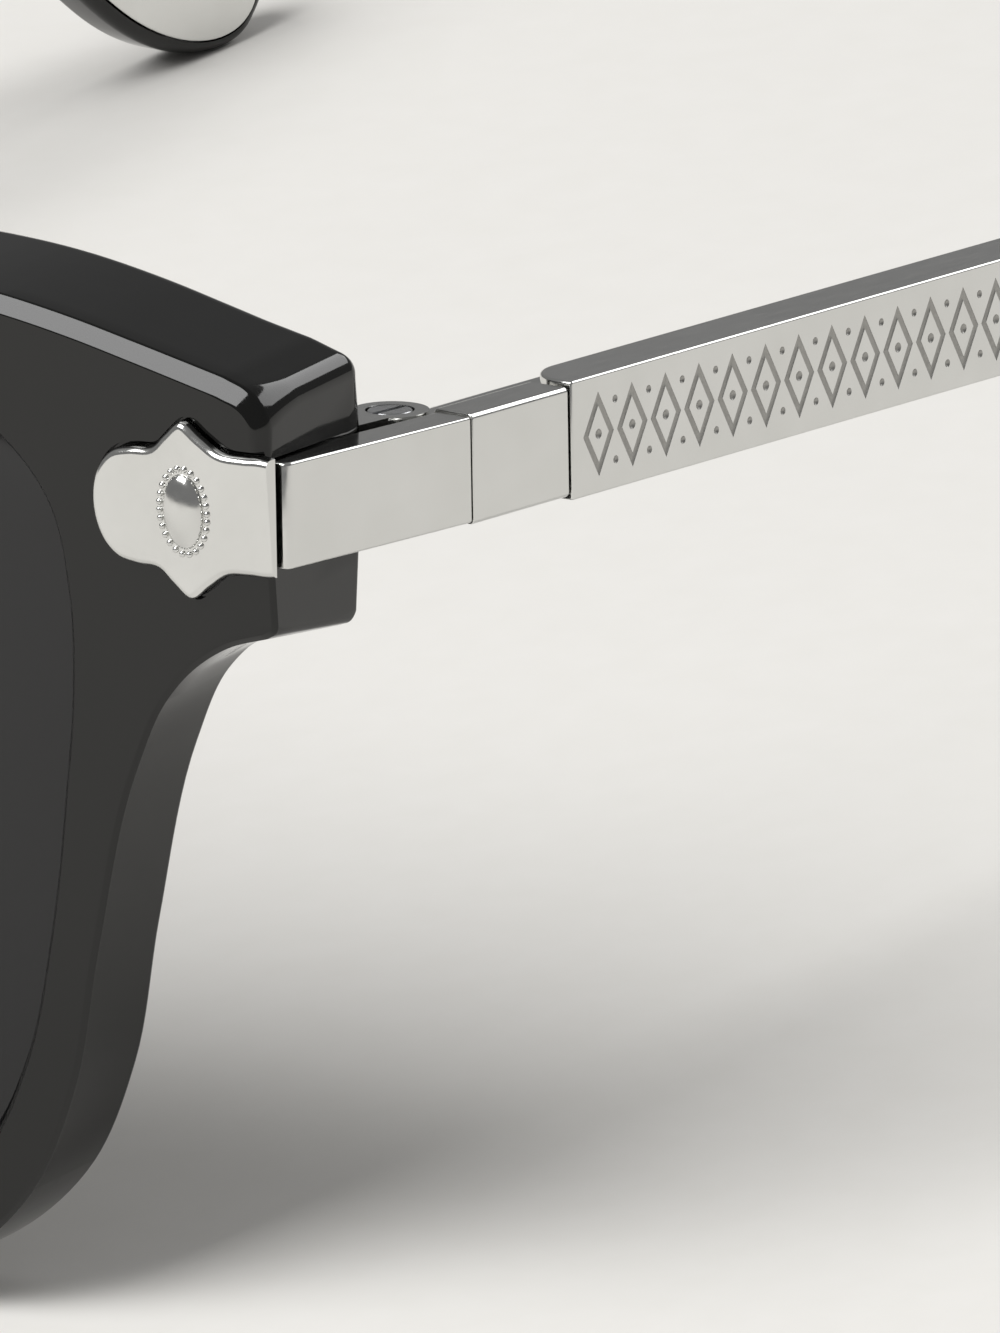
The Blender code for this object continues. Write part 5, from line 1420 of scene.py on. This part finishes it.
def tip_half_height(run):
    """Half the height of an ear tip: from the cover, through its waist, to its round end."""
    if run >= TIP_END:
        return TIP_END_HALF * math.sqrt(max(1 - ((run - TIP_END) / TIP_END_LENGTH) ** 2, 0))
    t = (run - COVER_BACK) / (TIP_END - COVER_BACK)
    dip = TIP_WAIST + (COVER_HEIGHT / 2 - TIP_WAIST) * max(1 - t / WAIST_END, 0) ** 2
    swell = min(max((t - SWELL_START) / (1 - SWELL_START), 0), 1)
    return dip + (TIP_END_HALF - TIP_WAIST) * swell * swell * (3 - 2 * swell)


def section(run, thickness, half_height, radius, inset=0.0):
    """A rounded section of the tip, square to its path and set in a little from its inner face."""
    point, upward_here = on_path(run)
    corners = ((thickness, half_height), (0, half_height), (0, -half_height), (thickness, -half_height))
    ring = []
    for index, here in enumerate(corners):
        for flat in fillet(corners[index - 1], here, corners[(index + 1) % 4], radius, 7):
            away = point + upward_here * flat.y
            ring.append(Vector((tip_face + inset + flat.x, away.x, away.y)))
    return ring


# %% [markdown]
# The rounding of a section grows quickly behind the cover. Round the end the sections get smaller along a
# quarter ellipse, and are set in from both faces, so that the end has the same rounded edge as the sides.

# %% Ear tip
START_ROUND, ROUND_GROWS, TIP_ROWS = 0.35 * MM, 1 / 6, 44
END_ROWS, END_THINNER, END_CROWDING = 26, 0.12, 1.4      # the last lays more rows near the very end
OF_HALF, OF_THICKNESS = 0.8, 0.45      # the most of each that a corner takes, so that corners don't meet
rings = []
for row in range(TIP_ROWS + 1):
    share = row / TIP_ROWS
    run = COVER_BACK + FIT + (TIP_END - COVER_BACK - FIT) * share
    thickness = COVER_THICKNESS + (TIP_END_THICKNESS - COVER_THICKNESS) * share
    round_here = START_ROUND + (TIP_ROUND - START_ROUND) * min(share / ROUND_GROWS, 1)
    rings.append(section(run, thickness, tip_half_height(run), round_here))
for row in range(1, END_ROWS):
    turn = math.pi / 2 * (1 - (1 - row / END_ROWS) ** END_CROWDING)
    half_here = TIP_END_HALF * math.cos(turn)
    to_end = min(TIP_END_LENGTH * (1 - math.sin(turn)), TIP_ROUND)
    inset = TIP_ROUND - math.sqrt(TIP_ROUND**2 - (TIP_ROUND - to_end) ** 2)
    thickness = TIP_END_THICKNESS * (1 - END_THINNER * (turn / math.pi * 2) ** 2) - 2 * inset
    round_here = min(TIP_ROUND, half_here * OF_HALF, thickness * OF_THICKNESS)
    rings.append(section(TIP_END + TIP_END_LENGTH * math.sin(turn), thickness, half_here, round_here, inset))
tip = stack("ear_tip", rings)
print("ear tip:", len(tip.data.polygons), "faces")

# %% [markdown]
# The inlay follows the outline of the paddle at a margin of 0.8 mm and lies almost flush in its pocket, with
# a thin rounded edge that draws a line of light. A channel for the flat wire runs into the tip from the
# front.

# %% Inlay and its pocket
INLAY_LENGTH, INLAY_MARGIN, INLAY_THICKNESS, INLAY_PROUD = 20.0 * MM, 0.8 * MM, 0.7 * MM, 0.08 * MM
INLAY_EDGE, INLAY_STEPS, NARROWEST, LEAD_IN = 0.09 * MM, 36, 0.2 * MM, 1 / 3
SPINE_IN_TIP, SPINE_IN_COVER, SPINE_STEPS, SPINE_HALF = 30.0 * MM, 2 * MM, 12, (0.55 * MM, 1.0 * MM)


def inlay_outline(grow):
    """Outline of the inlay in the inner face of an ear tip, grown by a margin, as (Y, Z)."""
    upper, lower = [], []
    for step in range(INLAY_STEPS + 1):
        share = step / INLAY_STEPS
        run = TIP_END - INLAY_LENGTH * (1 - share)
        lead = math.sqrt(1 - (1 - min(share / LEAD_IN, 1)) ** 2)
        half_here = max((tip_half_height(run) - INLAY_MARGIN) * lead, NARROWEST) + grow
        point, upward_here = on_path(run)
        upper.append(point + upward_here * half_here)
        lower.append(point - upward_here * half_here)
    point, upward_here = on_path(TIP_END)
    ahead = Vector((upward_here.y, -upward_here.x))
    half_here, length = TIP_END_HALF - INLAY_MARGIN + grow, TIP_END_LENGTH - INLAY_MARGIN + grow
    end = [
        point + upward_here * math.cos(angle) * half_here + ahead * math.sin(angle) * length
        for angle in [math.pi * step / INLAY_STEPS for step in range(1, INLAY_STEPS)]
    ]
    return upper + end + list(reversed(lower))


def inlay_stack(name, grow, steps):
    """The inlay from (inward, place on X) steps."""
    flat = inlay_outline(grow)
    return stack(name, [
        [Vector((place, point.x, point.y)) for point in offset(flat, inward)] for inward, place in steps
    ])


pocket = inlay_stack("pocket", FIT, [(0, tip_face - MM), (0, tip_face + INLAY_THICKNESS + FIT)])
combine(tip, pocket)
edge = [
    (INLAY_EDGE * inward, tip_face - INLAY_PROUD + INLAY_EDGE * down)
    for inward, down in ((1, 0), (0.5, 0.13), (0.13, 0.5), (0, 1))
]
inlay = inlay_stack("tip_inlay", 0, edge + [(0, tip_face + INLAY_THICKNESS)])
spine_middle = tip_face + COVER_THICKNESS / 2
half_thick, half_tall = (half + FIT for half in SPINE_HALF)
channel = []
for step in range(SPINE_STEPS + 1):
    run = COVER_BACK - SPINE_IN_COVER + (SPINE_IN_TIP + SPINE_IN_COVER + FIT) * step / SPINE_STEPS
    point, upward_here = on_path(run)
    channel.append([
        Vector((spine_middle + a * half_thick, *(point + upward_here * b * half_tall)))
        for a, b in ((1, 1), (-1, 1), (-1, -1), (1, -1))
    ])
combine(tip, stack("spine_channel", channel))
place_pair(tip, "ear_tip", TEMPLE, "left_temple", "black_acetate")
place_pair(inlay, "tip_inlay", TEMPLE, "left_temple", "polished_steel")

# %% [markdown]
# ## Hand over
#
# The size of the dressed pair is written beside that of the mechanical model. The two should agree, because
# finer edges do not make the pair larger.

# %% Measure and finish
sizes = {"cad": [list(corner) for corner in cad_box], "visual": [list(corner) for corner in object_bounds()]}
for label, (low, high) in sizes.items():
    print(label, [round((b - a) / MM, 2) for a, b in zip(low, high)], "mm")
